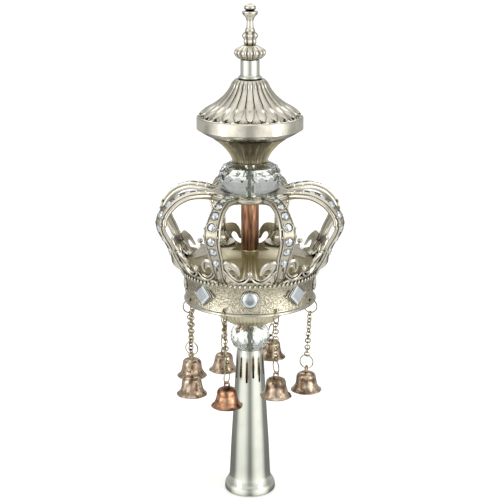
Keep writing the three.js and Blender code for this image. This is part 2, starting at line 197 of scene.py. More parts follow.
class Form:
    """A mesh under construction, in millimetres."""

    def __init__(self) -> None:
        """Starts with nothing."""
        self.bm = bmesh.new()

    @classmethod
    def turned(cls, outline: Sequence[Point], steps: int = 96) -> "Form":
        """Turns an outline about the finial's axis.

        Args:
            outline: Points of radius and height that start and end on the axis or close on themselves.
            steps: How many flats a full turn has.

        Returns:
            The closed form.
        """
        form = cls()
        verts = [form.bm.verts.new((p[0], 0.0, p[1])) for p in outline]
        edges = [form.bm.edges.new(pair) for pair in zip(verts, verts[1:])]
        bmesh.ops.spin(
            form.bm, geom=[*verts, *edges], cent=ZERO, axis=UP, dvec=ZERO, angle=math.tau, steps=steps,
            use_merge=True, use_duplicate=False,
        )
        return form.welded()

    @classmethod
    def swept(cls, section: Sequence[Point], stations: Sequence[Matrix]) -> "Form":
        """Draws out a flat section from station to station, with both ends closed."""
        form = cls()
        verts = [form.bm.verts.new((p[0], p[1], 0.0)) for p in section]
        face = form.bm.faces.new(verts)
        bmesh.ops.transform(form.bm, matrix=stations[0], verts=verts)
        for before, after in zip(stations, stations[1:]):
            made = bmesh.ops.extrude_face_region(form.bm, geom=[face])["geom"]
            face = next(item for item in made if isinstance(item, bmesh.types.BMFace))
            bmesh.ops.transform(form.bm, matrix=after @ before.inverted(), verts=face.verts)
        return form.welded()

    @classmethod
    def hoop(cls, radius: float, wire: float, steps: int = 24, sides: int = 8) -> "Form":
        """Makes a wire hoop that lies flat round the axis; few steps make it a polygon."""
        outline = [Vector((radius, 0)) + p for p in arc((0, 0), wire, 0, 360, sides)]
        return cls.turned(outline, steps)

    @classmethod
    def ball(cls, radius: float, rings: int = 8) -> "Form":
        """Makes a ball about the origin."""
        form = cls()
        bmesh.ops.create_uvsphere(form.bm, u_segments=rings + 4, v_segments=rings, radius=radius)
        return form

    @classmethod
    def slab(cls, outline: Sequence[Point], low: float, high: float, cuts: int = 1) -> "Form":
        """Makes an upright slab: an outline of x and z, drawn out along y from low to high."""
        right, out = Vector((1.0, 0.0, 0.0)), UP
        heights = [lerp(high, low, k / cuts) for k in range(cuts + 1)]
        return cls.swept(outline, [station(Vector((0.0, y, 0.0)), right, out) for y in heights])

    def welded(self) -> "Form":
        """Merges points that coincide and turns all faces outwards."""
        bmesh.ops.remove_doubles(self.bm, verts=self.bm.verts, dist=1e-4)
        bmesh.ops.recalc_face_normals(self.bm, faces=self.bm.faces)
        return self

    def moved(self, matrix: Matrix) -> "Form":
        """Moves, turns or scales the whole form."""
        bmesh.ops.transform(self.bm, matrix=matrix, verts=self.bm.verts)
        return self

    def shifted(self, x: float, y: float, z: float) -> "Form":
        """Moves the whole form."""
        return self.moved(Matrix.Translation((x, y, z)))

    def spun(self, azimuth: float, axis: str = "Z") -> "Form":
        """Turns the whole form about an axis through the origin, by degrees."""
        return self.moved(Matrix.Rotation(math.radians(azimuth), 4, axis))

    def reshaped(self, rule: Callable[[Vector], Vector]) -> "Form":
        """Puts each point where the rule says."""
        for vert in self.bm.verts:
            vert.co = rule(vert.co)
        return self

    def rounded(self, width: float, segments: int = 2, above: float = 40.0) -> "Form":
        """Bevels the edges that turn by more than some degrees."""
        sharp = [e for e in self.bm.edges if e.is_manifold and e.calc_face_angle() > math.radians(above)]
        bmesh.ops.bevel(
            self.bm, geom=sharp, offset=width, affect="EDGES", segments=segments, profile=0.5, material=-1,
        )
        return self

    def copied(self) -> "Form":
        """Gives a copy of the form."""
        twin = Form()
        twin.bm = self.bm.copy()
        return twin

    def add(self, *others: "Form") -> "Form":
        """Takes in other forms, which are used up."""
        for other in others:
            scratch = bpy.data.meshes.new("scratch")
            other.bm.to_mesh(scratch)
            other.bm.free()
            self.bm.from_mesh(scratch)
            bpy.data.meshes.remove(scratch)
        return self

    def round_about(self, places: Iterable[float]) -> "Form":
        """Repeats a form made at the front at each azimuth; this form is used up."""
        whole = Form()
        for azimuth in places:
            whole.add(self.copied().spun(azimuth))
        self.bm.free()
        return whole

    def finished_with(self, index: int) -> "Form":
        """Gives all faces one of the piece's materials, by its number."""
        for face in self.bm.faces:
            face.material_index = index
        return self

    def piece(
        self,
        name: str,
        finishes: Sequence[bpy.types.Material],
        slot: str,
        replaces: Sequence[str] = (),
        crease: float | None = 35.0,
    ) -> bpy.types.Object:
        """Turns the form into a piece of the finial.

        Args:
            name: The piece's name.
            finishes: Its materials.
            slot: The record's material slot; not used.
            replaces: The CAD nodes that it stands for.
            crease: Edges that turn by more than this many degrees stay sharp; None leaves flat facets.

        Returns:
            The object, which rides on the finial.
        """
        self.moved(Matrix.Scale(MM, 4))
        mesh = bpy.data.meshes.new(name)
        self.bm.to_mesh(mesh)
        self.bm.free()
        for finish in finishes:
            mesh.materials.append(finish)
        if crease is not None:
            mesh.shade_smooth()
            mesh.set_sharp_from_angle(angle=math.radians(crease))
        piece = bpy.data.objects.new(name, mesh)
        bpy.context.scene.collection.objects.link(piece)
        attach(piece, "root")
        if replaces:
            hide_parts(*replaces)
        LOG.info("%s: %d faces", name, len(mesh.polygons))
        return piece


def fluted(count: int, depth_at: Callable[[float, float, float], float]) -> Callable[[Vector], Vector]:
    """Makes the rule that presses flutes into a turned form.

    Args:
        count: How many flutes go round.
        depth_at: Depth for a radius, a height and a place across the flute, 0 on a ridge to 1 in its middle.

    Returns:
        The rule for Form.reshaped.
    """

    def rule(p: Vector) -> Vector:
        """Draws one point in towards the axis."""
        radius = math.hypot(p.x, p.y)
        if radius < 1e-6:
            return p
        turn = (math.atan2(p.x, -p.y) / math.tau * count) % 1.0
        across = 1 - abs(2 * turn - 1)
        scale = 1 - depth_at(radius, p.z, across) / radius
        return Vector((p.x * scale, p.y * scale, p.z))

    return rule


def carve(piece: bpy.types.Object, cutter: Form, finish: bpy.types.Material) -> None:
    """Cuts a form out of a piece for good and gives the cut its own finish.

    Args:
        piece: The piece to cut, already in place.
        cutter: The form to cut away, in millimetres; it is used up.
        finish: The finish of the fresh faces.
    """
    cutter.moved(Matrix.Scale(MM, 4))
    tool_mesh = bpy.data.meshes.new("cutter")
    cutter.bm.to_mesh(tool_mesh)
    cutter.bm.free()
    tool_mesh.materials.append(finish)
    tool = bpy.data.objects.new("cutter", tool_mesh)
    bpy.context.scene.collection.objects.link(tool)
    cut = piece.modifiers.new("cut", "BOOLEAN")
    cut.object, cut.operation, cut.solver, cut.material_mode = tool, "DIFFERENCE", "EXACT", "TRANSFER"
    shaped = bpy.data.meshes.new_from_object(piece.evaluated_get(bpy.context.evaluated_depsgraph_get()))
    piece.modifiers.clear()
    whole, piece.data = piece.data, shaped
    shaped.set_sharp_from_angle(angle=math.radians(35))
    bpy.data.objects.remove(tool)
    bpy.data.meshes.remove(tool_mesh)
    bpy.data.meshes.remove(whole)


# ---------------------------------------------------------------- finishes


def linear(code: str) -> tuple[float, float, float, float]:
    """Turns an sRGB hex colour to linear red, green, blue and alpha."""
    parts = [int(code[i:i + 2], 16) / 255 for i in (1, 3, 5)]
    red, green, blue = [p / 12.92 if p <= 0.04045 else ((p + 0.055) / 1.055) ** 2.4 for p in parts]
    return red, green, blue, 1.0


def add_node(
    tree: bpy.types.NodeTree, kind: str, values: dict[Any, Any] | None = None, **settings: Any
) -> bpy.types.Node:
    """Adds a node to a material.

    Args:
        tree: The node tree.
        kind: The node's type, without its ShaderNode prefix.
        values: What each input holds, or the output that feeds it.
        settings: The node's own settings.

    Returns:
        The node.
    """
    node = tree.nodes.new("ShaderNode" + kind)
    for name, setting in settings.items():
        setattr(node, name, setting)
    for name, value in (values or {}).items():
        if isinstance(value, bpy.types.NodeSocket):
            tree.links.new(value, node.inputs[name])
        else:
            node.inputs[name].default_value = value
    return node


def fresh_tree(name: str) -> tuple[bpy.types.Material, bpy.types.NodeTree]:
    """Makes a material with an empty node tree."""
    material = bpy.data.materials.new(name)
    material.use_nodes = True
    material.node_tree.nodes.clear()
    return material, material.node_tree


@dataclass(frozen=True)
class PlatedNickel:
    """Nickel plate on cast or turned brass, darkened in its hollows by patina and painted shade.

    The plate is warm grey and mirrors its surroundings softly; brown patina and painted shade in the hollows,
    found by ambient occlusion, make the relief stand out, and handling mottles it in patches some 10 mm wide.
    """

    name: str
    high: str  # colour of the rubbed high parts
    low: str  # colour of the patina and painted shade in the hollows
    roughness: float
    reach: float = 2.5  # width of a hollow that gets patina and painted shade, mm
    patina_shade_level: float = 0.8  # how dark the hollows get with patina and painted shade, 0 to 1
    grain: float = 0.5  # size of the surface's grain, mm; finer grain wouldn't show
    relief: float = 0.02  # height of the grain, mm
    patch: float = 10.0  # width of the mottling, mm
    mottling: float = 0.35
    speckle: float = 0.0  # how much darker the low spots of the grain are, 0 to 1

    def build(self) -> bpy.types.Material:
        """Builds the material."""
        material, tree = fresh_tree(self.name)
        place = add_node(tree, "TexCoord").outputs["Object"]
        mottle = add_node(
            tree, "TexNoise", {"Vector": place, "Scale": 1 / (self.patch * MM), "Detail": 4.0},
        ).outputs["Fac"]
        grain = add_node(
            tree, "TexNoise", {"Vector": place, "Scale": 1 / (self.grain * MM), "Detail": 2.0},
        ).outputs["Fac"]
        # Ambient occlusion marks the hollows; their darkening is partly patina and partly painted shade.
        shelter = add_node(
            tree, "AmbientOcclusion", {"Distance": self.reach * MM}, samples=6,
        ).outputs["AO"]
        patina_and_shade_mask = add_node(
            tree, "MapRange", {"Value": shelter, "From Min": 0.5, "From Max": 0.95, "To Min": self.patina_shade_level,
                               "To Max": 0.0},
        ).outputs["Result"]
        patchy = add_node(
            tree, "MapRange", {"Value": mottle, "From Min": 0.45, "From Max": 0.75, "To Min": 0.0,
                               "To Max": self.mottling},
        ).outputs["Result"]
        # Darkening from patina and painted shade in the hollows, and from handling wear in patches.
        shade_patina_and_wear = add_node(tree, "Math", {0: patina_and_shade_mask, 1: patchy}, operation="MAXIMUM").outputs["Value"]
        if self.speckle:
            pits = add_node(
                tree, "MapRange", {"Value": grain, "From Min": 0.36, "From Max": 0.56, "To Min": self.speckle,
                                   "To Max": 0.0},
            ).outputs["Result"]
            shade_patina_and_wear = add_node(tree, "Math", {0: shade_patina_and_wear, 1: pits}, operation="MAXIMUM").outputs["Value"]
        colour = add_node(
            tree, "Mix", {"Factor": shade_patina_and_wear, "A": linear(self.high), "B": linear(self.low)}, data_type="RGBA",
        )
        rough = add_node(
            tree, "MapRange", {"Value": shade_patina_and_wear, "To Min": self.roughness, "To Max": self.roughness + 0.22},
        ).outputs["Result"]
        bump = add_node(
            tree, "Bump", {"Height": grain, "Strength": 1.0, "Distance": self.relief * MM},
        ).outputs["Normal"]
        shader = add_node(
            tree, "BsdfPrincipled",
            {"Base Color": colour.outputs["Result"], "Metallic": 1.0, "Roughness": rough, "Normal": bump},
        )
        add_node(tree, "OutputMaterial", {"Surface": shader.outputs["BSDF"]})
        return material


@dataclass(frozen=True)
class StreakedMetal:
    """Bare copper or thinly plated brass that has gone brown in streaks and patches.

    It glows orange where it is rubbed and turns dull brown where it isn't; its hollows are darkened with
    painted shade.
    """

    name: str
    bright: str
    middle: str
    dull_brown_and_shade: str
    roughness: float
    patch: tuple[float, float, float]  # width of the patches along x, y and z, mm

    def build(self) -> bpy.types.Material:
        """Builds the material."""
        material, tree = fresh_tree(self.name)
        place = add_node(tree, "TexCoord").outputs["Object"]
        stretched = add_node(
            tree, "Mapping", {"Vector": place, "Scale": [1 / (width * MM) for width in self.patch]},
        ).outputs["Vector"]
        wear = add_node(tree, "TexNoise", {"Vector": stretched, "Scale": 1.0, "Detail": 5.0}).outputs["Fac"]
        shelter = add_node(tree, "AmbientOcclusion", {"Distance": 2 * MM}, samples=6).outputs["AO"]
        ramp = add_node(tree, "ValToRGB", {"Fac": wear})
        stops = ramp.color_ramp.elements
        stops[0].position, stops[0].color = 0.36, linear(self.dull_brown_and_shade)
        stops[1].position, stops[1].color = 0.64, linear(self.bright)
        stops.new(0.5).color = linear(self.middle)
        # Painted shade: the hollows that ambient occlusion finds are darkened towards the dull brown colour.
        hollow = add_node(
            tree, "MapRange", {"Value": shelter, "From Min": 0.3, "From Max": 0.85, "To Min": 0.85,
                               "To Max": 0.0},
        ).outputs["Result"]
        colour = add_node(
            tree, "Mix", {"Factor": hollow, "A": ramp.outputs["Color"], "B": linear(self.dull_brown_and_shade)},
            data_type="RGBA",
        )
        rough = add_node(
            tree, "MapRange",
            {"Value": wear, "From Min": 0.3, "From Max": 0.7, "To Min": self.roughness + 0.2,
             "To Max": self.roughness},
        ).outputs["Result"]
        bump = add_node(tree, "Bump", {"Height": wear, "Strength": 0.6, "Distance": 0.08 * MM})
        shader = add_node(
            tree, "BsdfPrincipled",
            {"Base Color": colour.outputs["Result"], "Metallic": 1.0, "Roughness": rough,
             "Normal": bump.outputs["Normal"]},
        )
        add_node(tree, "OutputMaterial", {"Surface": shader.outputs["BSDF"]})
        return material


@dataclass(frozen=True)
class CutCrystal:
    """Clear lead crystal, cut and polished: see-through, with faint waves left by the wheel."""

    name: str
    tint: str
    wave: float = 3.0  # width of the waves on a facet, mm

    def build(self) -> bpy.types.Material:
        """Builds the material."""
        material, tree = fresh_tree(self.name)
        place = add_node(tree, "TexCoord").outputs["Object"]
        waves = add_node(
            tree, "TexNoise", {"Vector": place, "Scale": 1 / (self.wave * MM), "Detail": 1.0},
        ).outputs["Fac"]
        bump = add_node(tree, "Bump", {"Height": waves, "Strength": 0.5, "Distance": 0.12 * MM})
        shader = add_node(
            tree, "BsdfPrincipled",
            {"Base Color": linear(self.tint), "Roughness": 0.02, "IOR": 1.545, "Transmission Weight": 1.0,
             "Normal": bump.outputs["Normal"]},
        )
        add_node(tree, "OutputMaterial", {"Surface": shader.outputs["BSDF"]})
        return material


@dataclass(frozen=True)
class FoiledStone:
    """Clear stone with a silvered back: it mirrors like metal under a polished clear face."""

    name: str
    tint: str
    roughness: float
    foil: str = "#f4f8fa"  # colour of the silvered back
    cloud: float = 2.5  # width of the clouds in the foil, mm

    def build(self) -> bpy.types.Material:
        """Builds the material."""
        material, tree = fresh_tree(self.name)
        place = add_node(tree, "TexCoord").outputs["Object"]
        cloud = add_node(
            tree, "TexNoise", {"Vector": place, "Scale": 1 / (self.cloud * MM), "Detail": 3.0},
        ).outputs["Fac"]
        colour = add_node(
            tree, "Mix", {"Factor": cloud, "A": linear(self.foil), "B": linear(self.tint)}, data_type="RGBA",
        )
        shader = add_node(
            tree, "BsdfPrincipled",
            {"Base Color": colour.outputs["Result"], "Metallic": 0.9, "Roughness": self.roughness,
             "Coat Weight": 1.0, "Coat Roughness": 0.02},
        )
        add_node(tree, "OutputMaterial", {"Surface": shader.outputs["BSDF"]})
        return material


class Finish(Enum):
    """The finial's finishes."""

    # Each plated finish's second colour is patina and painted shade in its hollows; each streaked metal's
    # last colour is dull brown and painted shade in its hollows.
    BRIGHT = PlatedNickel("plated_nickel_polished", "#e2ddcd", "#40382b", 0.13, reach=3.0, patina_shade_level=0.95)
    SATIN = PlatedNickel(
        "plated_nickel_satin", "#d9dccf", "#8c897b", 0.17, patina_shade_level=0.4, mottling=0.1, grain=0.3, relief=0.003,
    )
    GRAINED = PlatedNickel(
        "plated_nickel_granulated", "#e0dac4", "#6f6443", 0.26, patina_shade_level=0.7, grain=1.0, relief=0.35,
        speckle=0.7,
    )
    STRAP = PlatedNickel(
        "plated_nickel_stippled", "#dcd6c2", "#7c715a", 0.3, reach=1.6, patina_shade_level=0.75, grain=0.8, relief=0.2,
        speckle=0.35,
    )
    TONED = PlatedNickel("plated_nickel_toned", "#dcd2b2", "#6b6044", 0.28, patina_shade_level=0.85, mottling=0.35)
    WALL = PlatedNickel("plated_nickel_cast_inside", "#d8d1b8", "#8d8264", 0.4, patina_shade_level=0.6, mottling=0.6)
    COPPER = StreakedMetal("bare_copper", "#d8a684", "#a07459", "#54453c", 0.26, (1.6, 1.6, 16.0))
    SLOT = StreakedMetal("browned_copper", "#b58a66", "#8f6a4c", "#54402f", 0.5, (2.0, 2.0, 6.0))
    BELL = StreakedMetal("worn_brass_stamping", "#ddcbb6", "#bba48d", "#6a5a4c", 0.16, (5.0, 5.0, 5.0))
    COPPERED = StreakedMetal("coppery_brass_stamping", "#e0b08c", "#b98a6c", "#5f4a3e", 0.16, (6.0, 6.0, 5.0))
    WIRE = StreakedMetal("toned_brass_wire", "#e2d8bc", "#c0b390", "#70644c", 0.22, (4.0, 4.0, 4.0))
    STEEL = PlatedNickel("drawn_steel_rod", "#a9aba4", "#6a6b64", 0.35)
    CRYSTAL = CutCrystal("lead_crystal", "#f1f6f1")
    STONE = FoiledStone("silvered_stone", "#c9d6dc", 0.1)
    CHATON = FoiledStone("silvered_chaton", "#b4c2c9", 0.04)

    @property
    def material(self) -> bpy.types.Material:
        """The finish's material, built when it is first used."""
        return bpy.data.materials.get(self.value.name) or self.value.build()


# ---------------------------------------------------------------- socket and beads


@dataclass
class Socket:
    """Tapering tube that slips over a roller's handle, with a flared foot and a ring of slots."""

    foot: float = 18.3
    wall: float = 1.3
    depth: float = 78.0
    slots: int = 14
    slot_width: float = 1.5
    slot_length: float = 15.0
    slot_depth: float = 0.9
    slot_top: float = 103.4
    stagger: tuple[float, ...] = (0.0, -3.4, 1.2, -1.6)

    def outline(self, top: float) -> list[Vector]:
        """Gives the tube's closed outline."""
        foot = flow([
            (self.foot - 1, 0), (self.foot - 0.1, 0.7), (self.foot, 2.4), (self.foot - 0.5, 5.4),
            (self.foot - 2.1, 7.9), (self.foot - 3.2, 10.3), (self.foot - 3.6, 13.4),
        ])
        body = flow([(14.7, 13.4), (13.6, 36.5), (12.6, 53), (11, 80), (10.4, 92), (9.6, top - 3.4)])
        edge = [(9.3, top - 1.6), (8.7, top)]
        bore = [
            (BORE, top), (BORE, self.depth + 3), (9.4, self.depth), (14.65 - self.wall, 12),
            (14.2, 0.6), (14.6, 0),
        ]
        return [Vector(p) for p in [*foot, *body[1:], *edge, *bore, (self.foot - 1, 0)]]

    def cutter(self) -> Form:
        """Makes the slots' round-ended bars, all round the tube."""
        half = self.slot_width / 2
        straight = self.slot_length / 2 - half
        outline = [*arc((0, straight), half, 0, 180), *arc((0, -straight), half, 180, 360)]
        bars = Form()
        for i, azimuth in enumerate(azimuths(self.slots, 180 / self.slots)):
            height = self.slot_top - self.slot_length / 2 + self.stagger[i % len(self.stagger)]
            radius = lerp(11, 9.6, (height - 80) / 24)
            bar = Form.slab(outline, -3.0, self.slot_depth).spun(3.5, "X")
            bars.add(bar.shifted(0, -radius, height).spun(azimuth))
        return bars

    def make(self) -> None:
        """Builds and dresses the socket."""
        form = Form.turned(self.outline(span("shaft")[1].z), 128)
        socket = form.piece("socket", [Finish.SATIN.material], "satin_nickel", ["shaft"])
        carve(socket, self.cutter(), Finish.SLOT.material)


@dataclass
class Bead:
    """Crystal bead with tall facets round its middle and triangular ones above and below."""

    node: str
    name: str
    sides: int = 16
    bore: float = 3.4
    cut: tuple[tuple[float, float], ...] = (
        (0.62, 0), (0.86, 0.13), (0.965, 0.31), (1, 0.5), (0.965, 0.69), (0.86, 0.87), (0.62, 1),
    )

    def make(self) -> None:
        """Builds and dresses the bead."""
        low, high = span(self.node)
        radius, height = high.x, high.z - low.z
        rings = [Vector((share * radius, low.z + rise * height)) for share, rise in self.cut]
        bore = [Vector((self.bore, high.z)), Vector((self.bore, low.z))]
        twisted = [ring.y for ring in rings[1::2]]

        def stagger(p: Vector) -> Vector:
            """Turns every second ring by part of a facet, so that the tall facets' edges zigzag."""
            if min(abs(p.z - z) for z in twisted) > 0.01 or math.hypot(p.x, p.y) < self.bore + 1:
                return p
            return Matrix.Rotation(0.7 * math.pi / self.sides, 3, "Z") @ p

        form = Form.turned([*rings, *bore, rings[0]], self.sides).reshaped(stagger)
        bmesh.ops.triangulate(form.bm, faces=form.bm.faces)
        form.piece(self.name, [Finish.CRYSTAL.material], "crystal", [self.node], crease=None)


# ---------------------------------------------------------------- cups, canopy and spire


@dataclass
class RibbedBowl:
    """Shallow bowl under the crown's floor, pressed with fine ribs."""

    ribs: int = 48
    rib_depth: float = 0.55
    thickness: float = 1.3

    def make(self) -> None:
        """Builds and dresses the bowl."""
        low, high = span("lower_cup")
        base, top, reach = low.z, high.z, high.x
        outer = flow([
            (8.6, base), (13.6, base + 1.6), (18.3, base + 4), (24, base + 8.6), (29, base + 15.4),
            (reach, top),
        ])
        inside = base + self.thickness
        inner = [(p.x - self.thickness, max(p.y, inside)) for p in reversed(outer[6:])]
        outline = [(BORE, base), *outer, *inner, (BORE, inside), (BORE, base)]

        def depth(radius: float, height: float, across: float) -> float:
            """Leaves round ribs between narrow grooves."""
            ribbed = base + 0.2 < height and radius > 9
            return self.rib_depth * across ** 2 * min((radius - 9) / 3, 1) if ribbed else 0.0

        form = Form.turned(outline, self.ribs * 6).reshaped(fluted(self.ribs, depth))
        form.piece("ribbed_bowl", [Finish.TONED.material], "antiqued_nickel", ["lower_cup"])


@dataclass
class TrumpetCup:
    """Fluted trumpet between the upper bead and the canopy."""

    flutes: int = 20
    depth: float = 1.5

    def make(self) -> None:
        """Builds and dresses the cup."""
        low, high = span("upper_cup")
        base, top = low.z, high.z
        outer = flow([
            (12, base), (12.7, base + 2.4), (14.3, base + 5.2), (16.4, base + 8.1), (20.1, base + 12.2),
            (23.6, base + 15), (26.6, top),
        ], 8)
        inner = flow([(25, top), (18.6, base + 12.4), (13, base + 6), (10, base + 2)])
        outline = [(BORE, base), *outer, *inner, (BORE, base + 2), (BORE, base)]

        def depth(radius: float, height: float, across: float) -> float:
            """Sinks wide flutes that leave narrow raised ribs between them."""
            if radius < 11 or height > top - 0.05:
                return 0.0
            wide = min(1.0, 1.7 * across) ** 2
            end = lerp(0, 1, (top - height) / 1.6)
            return self.depth * wide * (3 - 2 * wide) * end * lerp(0.55, 1, (height - base) / 6)

        form = Form.turned(outline, self.flutes * 12).reshaped(fluted(self.flutes, depth))
        form.piece("trumpet_cup", [Finish.TONED.material], "antiqued_nickel", ["upper_cup"])


@dataclass
class Canopy:
    """Bell-shaped roof with rounded tongues that run down to a plain turned band."""

    tongues: int = 24
    depth: float = 1.7
    dot: float = 0.75
    band_rise: tuple[float, float] = (5.3, 13.5)  # lower and upper edge of the band above the bottom

    def make(self) -> None:
        """Builds and dresses the canopy."""
        low, high = span("canopy")
        bottom, top, radius = low.z, high.z, high.x
        band_low, band_high = (bottom + rise for rise in self.band_rise)
        tips = band_high + 1.5
        slope = [
            (radius - 0.9, 0.4), (33.6, 3.1), (29.6, 6), (24.7, 8.8), (19.45, 12.9), (16.3, 16.3),
            (13.9, 19.7), (12.3, 22.9),
        ]
        roof = flow([*[(r, band_high + rise) for r, rise in slope], (10.8, top - 0.5), (10.2, top)], 8)
        belly = flow([(27, bottom), (31.4, bottom + 2.2), (radius - 0.8, band_low - 0.4)])
        band = [(radius, band_low), (radius, band_high - 0.5), (radius - 0.4, band_high)]
        inner = [
            (BORE, top), (BORE, top - 4), (9, top - 9), (31, band_high - 1), (33, band_low + 1.6),
            (25, bottom),
        ]
        outline = [*belly, *band, *roof, *inner, (27, bottom)]

        def depth(r: float, z: float, across: float) -> float:
            """Sinks the gaps between the tongues, which narrow towards their tips."""
            if z < band_high + 0.2 or r < BORE + 2:
                return 0.0
            half_width = lerp(0.52, 0.86, (z - tips) / 9)
            tip = math.sqrt(max(0.0, min(1.0, (z - tips) / 2.2)))
            half_width *= tip if z > tips else 0.0
            edge = (across - half_width) / 0.12
            gap = lerp(0, 1, edge)
            crown = 0.35 * min(across / max(half_width, 0.1), 1.0) ** 2
            deep = min(self.depth, 0.1 * r) * lerp(0.4, 1, (top - z) / 3)
            return deep * (gap + crown * (1 - gap)) * lerp(0, 1, (z - band_high - 0.2) / 0.8)

        form = Form.turned(outline, self.tongues * 14).reshaped(fluted(self.tongues, depth))
        step = 360 / self.tongues
        bead = Form.ball(self.dot, 6).shifted(0, -(radius - 2.2), band_high + 0.9)
        form.add(bead.round_about(azimuths(self.tongues, step / 2)))
        form.piece("canopy_roof", [Finish.BRIGHT.material], "bright_nickel", ["canopy"])


@dataclass
class Neck:
    """Short tube between the canopy and the spire, on a stepped base ring."""

    radius: float = 6.5

    def make(self) -> None:
        """Builds and dresses the tube."""
        low, high = span("neck")
        base, top, radius = low.z, high.z, self.radius
        step = arc((7.3, base + 0.8), 0.8, -90, 90, 8)
        outline = [
            (BORE, base), *step, *flow([(7.2, base + 1.9), (6.7, base + 2.6), (radius, base + 3.6)], 4),
            (radius, top - 0.6), (radius - 0.5, top), (BORE, top), (BORE, base),
        ]
        form = Form.turned(outline, 96)
        form.piece("neck_tube", [Finish.SATIN.material], "satin_nickel", ["neck"])


@dataclass
class Spire:
    """One casting: lobed button, four-leaf knot, spindle, small cup and ball."""

    lobes: int = 14
    leaves: int = 4

    def button(self, base: float) -> Form:
        """Makes the lobed button."""
        side = flow([
            (7.6, base), (9.7, base + 1.6), (10.9, base + 3.9), (10, base + 6), (7.6, base + 7.5),
            (5, base + 8.8),
        ])
        outline = [(0, base), (7.2, base), *side, (0, base + 8.8)]

        def depth(radius: float, height: float, across: float) -> float:
            """Parts the lobes with round-bottomed grooves."""
            return 1.3 * across ** 3 * min(max(radius - 5, 0) / 3, 1)

        return Form.turned(outline, self.lobes * 10).reshaped(fluted(self.lobes, depth))

    def knot(self, base: float) -> Form:
        """Makes the knot with four leaves that swell and curl out."""
        side = flow([
            (3.4, base + 8.2), (4.3, base + 11), (4.1, base + 12.6), (5.4, base + 15), (4.7, base + 16.6),
            (3.2, base + 18.2), (2.9, base + 19.4),
        ])
        outline = [(0, base + 8.2), *side, (0, base + 19.4)]

        def depth(radius: float, height: float, across: float) -> float:
            """Sinks the quarters between the leaves."""
            return 0.42 * radius * across ** 1.5 if height < base + 17.6 else 0.0

        return Form.turned(outline, self.leaves * 16).reshaped(fluted(self.leaves, depth))

    def spindle(self, base: float, top: float) -> Form:
        """Makes the spindle with its small cup and the ball with a bead on top."""
        stem = flow([
            (3.1, base + 18), (3.3, base + 19.2), (2.5, base + 20.6), (2.3, base + 23), (2.4, base + 25.4),
            (3.2, base + 27.4), (4.9, base + 29.2), (5.4, base + 30.3),
        ])
        cup = [*arc((4.9, base + 30.8), 0.5, -20, 100, 5), *flow([(4.2, base + 31.4), (2.6, base + 31.8)])]
        ball = flow([
            (2.6, base + 31.8), (3.8, base + 32.8), (4.05, base + 34), (3.3, base + 35.1), (1.9, base + 35.7),
            (1.3, top - 1), (1.1, top - 0.5), (0.6, top - 0.1), (0, top),
        ])
        return Form.turned([(0, base + 18), *stem, *cup, *ball[1:]], 48)

    def make(self) -> None:
        """Builds and dresses the spire."""
        low, high = span("spire")
        form = self.button(low.z).add(self.knot(low.z), self.spindle(low.z, high.z))
        form.piece("spire_casting", [Finish.BRIGHT.material], "bright_nickel", ["spire"])


# ---------------------------------------------------------------- crown


@dataclass
class Arch:
    """The line, width and section that all eight arches share."""

    seam: float = 0.44  # share of the line that is cast with the coronet
    seam_gap: float = 0.0016  # share of the line left open above the seam
    depth: float = 6.0
    root_depth: float = 4.6
    section_size: tuple[float, float] = (12.0, 6.0)  # width and depth of the section as it is drawn
    line: tuple[tuple[float, float], ...] = (
        (47.4, 168.6), (53.6, 174.6), (57.6, 181.6), (60.6, 189), (64.4, 195.4), (67, 201), (67.4, 207.5),
        (64, 214.5), (56.8, 221.3), (46.5, 225.4), (36, 225.5), (25, 223.6),
    )

    def __post_init__(self) -> None:
        """Draws the arch's line, in the plane at the front."""
        self.route = Route([(0.0, -radius, height) for radius, height in self.line])

    def width(self, share: float) -> float:
        """Gives the width at a share of the line."""
        if share < self.seam:
            return lerp(5.6, 12, share / self.seam)
        return lerp(12.4, 6.2, (share - self.seam) / (1 - self.seam))

    def thickness(self, share: float) -> float:
        """Gives the depth at a share of the line; the root is as thin as the band's wall."""
        return lerp(1.7, self.root_depth, share / (self.seam / 4)) if share < self.seam else self.depth

    def place(self, share: float) -> tuple[Vector, Vector]:
        """Gives the middle of the outer face and the direction that it faces, at a share of the line."""
        point, along = self.route.at(share)
        return point, Vector((0.0, -along.z, along.y))

    def section(self) -> list[Vector]:
        """Draws the bar's section, 12 wide and 6 deep: thin rails, a groove, tube-like sides, open back."""
        right = [
            (3.5, -0.75), *arc((3.95, -0.4), 0.4, 160, -20, 5), (4.35, -1.5), (4.2, -2.0),
            *arc((4.3, -3.55), 1.65, 80, -95, 10), (3.2, -4.9), (2.7, -4.0), (0.0, -4.0),
        ]
        half = [Vector(p) for p in [(0.0, -1.2), (3.4, -1.2), *right]]
        other = [Vector((-p.x, p.y)) for p in reversed(half[1:-1])]
        return [*half, *other]

    def stretch(self, start: float, end: float, count: int) -> Form:
        """Makes the arch between two shares of its line, with its granulated strap between the rails.

        Args:
            start: Where it starts.
            end: Where it ends.
            count: How many stretches the mesh has.

        Returns:
            The form, at the front.
        """
        stations = []
        drawn_width, drawn_depth = self.section_size
        for share in (lerp(start, end, k / count) for k in range(count + 1)):
            point, out = self.place(share)
            wide, deep = self.width(share) / drawn_width, self.thickness(share) / drawn_depth
            stations.append(station(point, Vector((1.0, 0.0, 0.0)), out, wide, deep))
        strap = [(-3.55, -1.3), (3.55, -1.3), (3.55, -0.75), (0, -0.6), (-3.55, -0.75)]
        return Form.swept(self.section(), stations).add(Form.swept(strap, stations).finished_with(1))


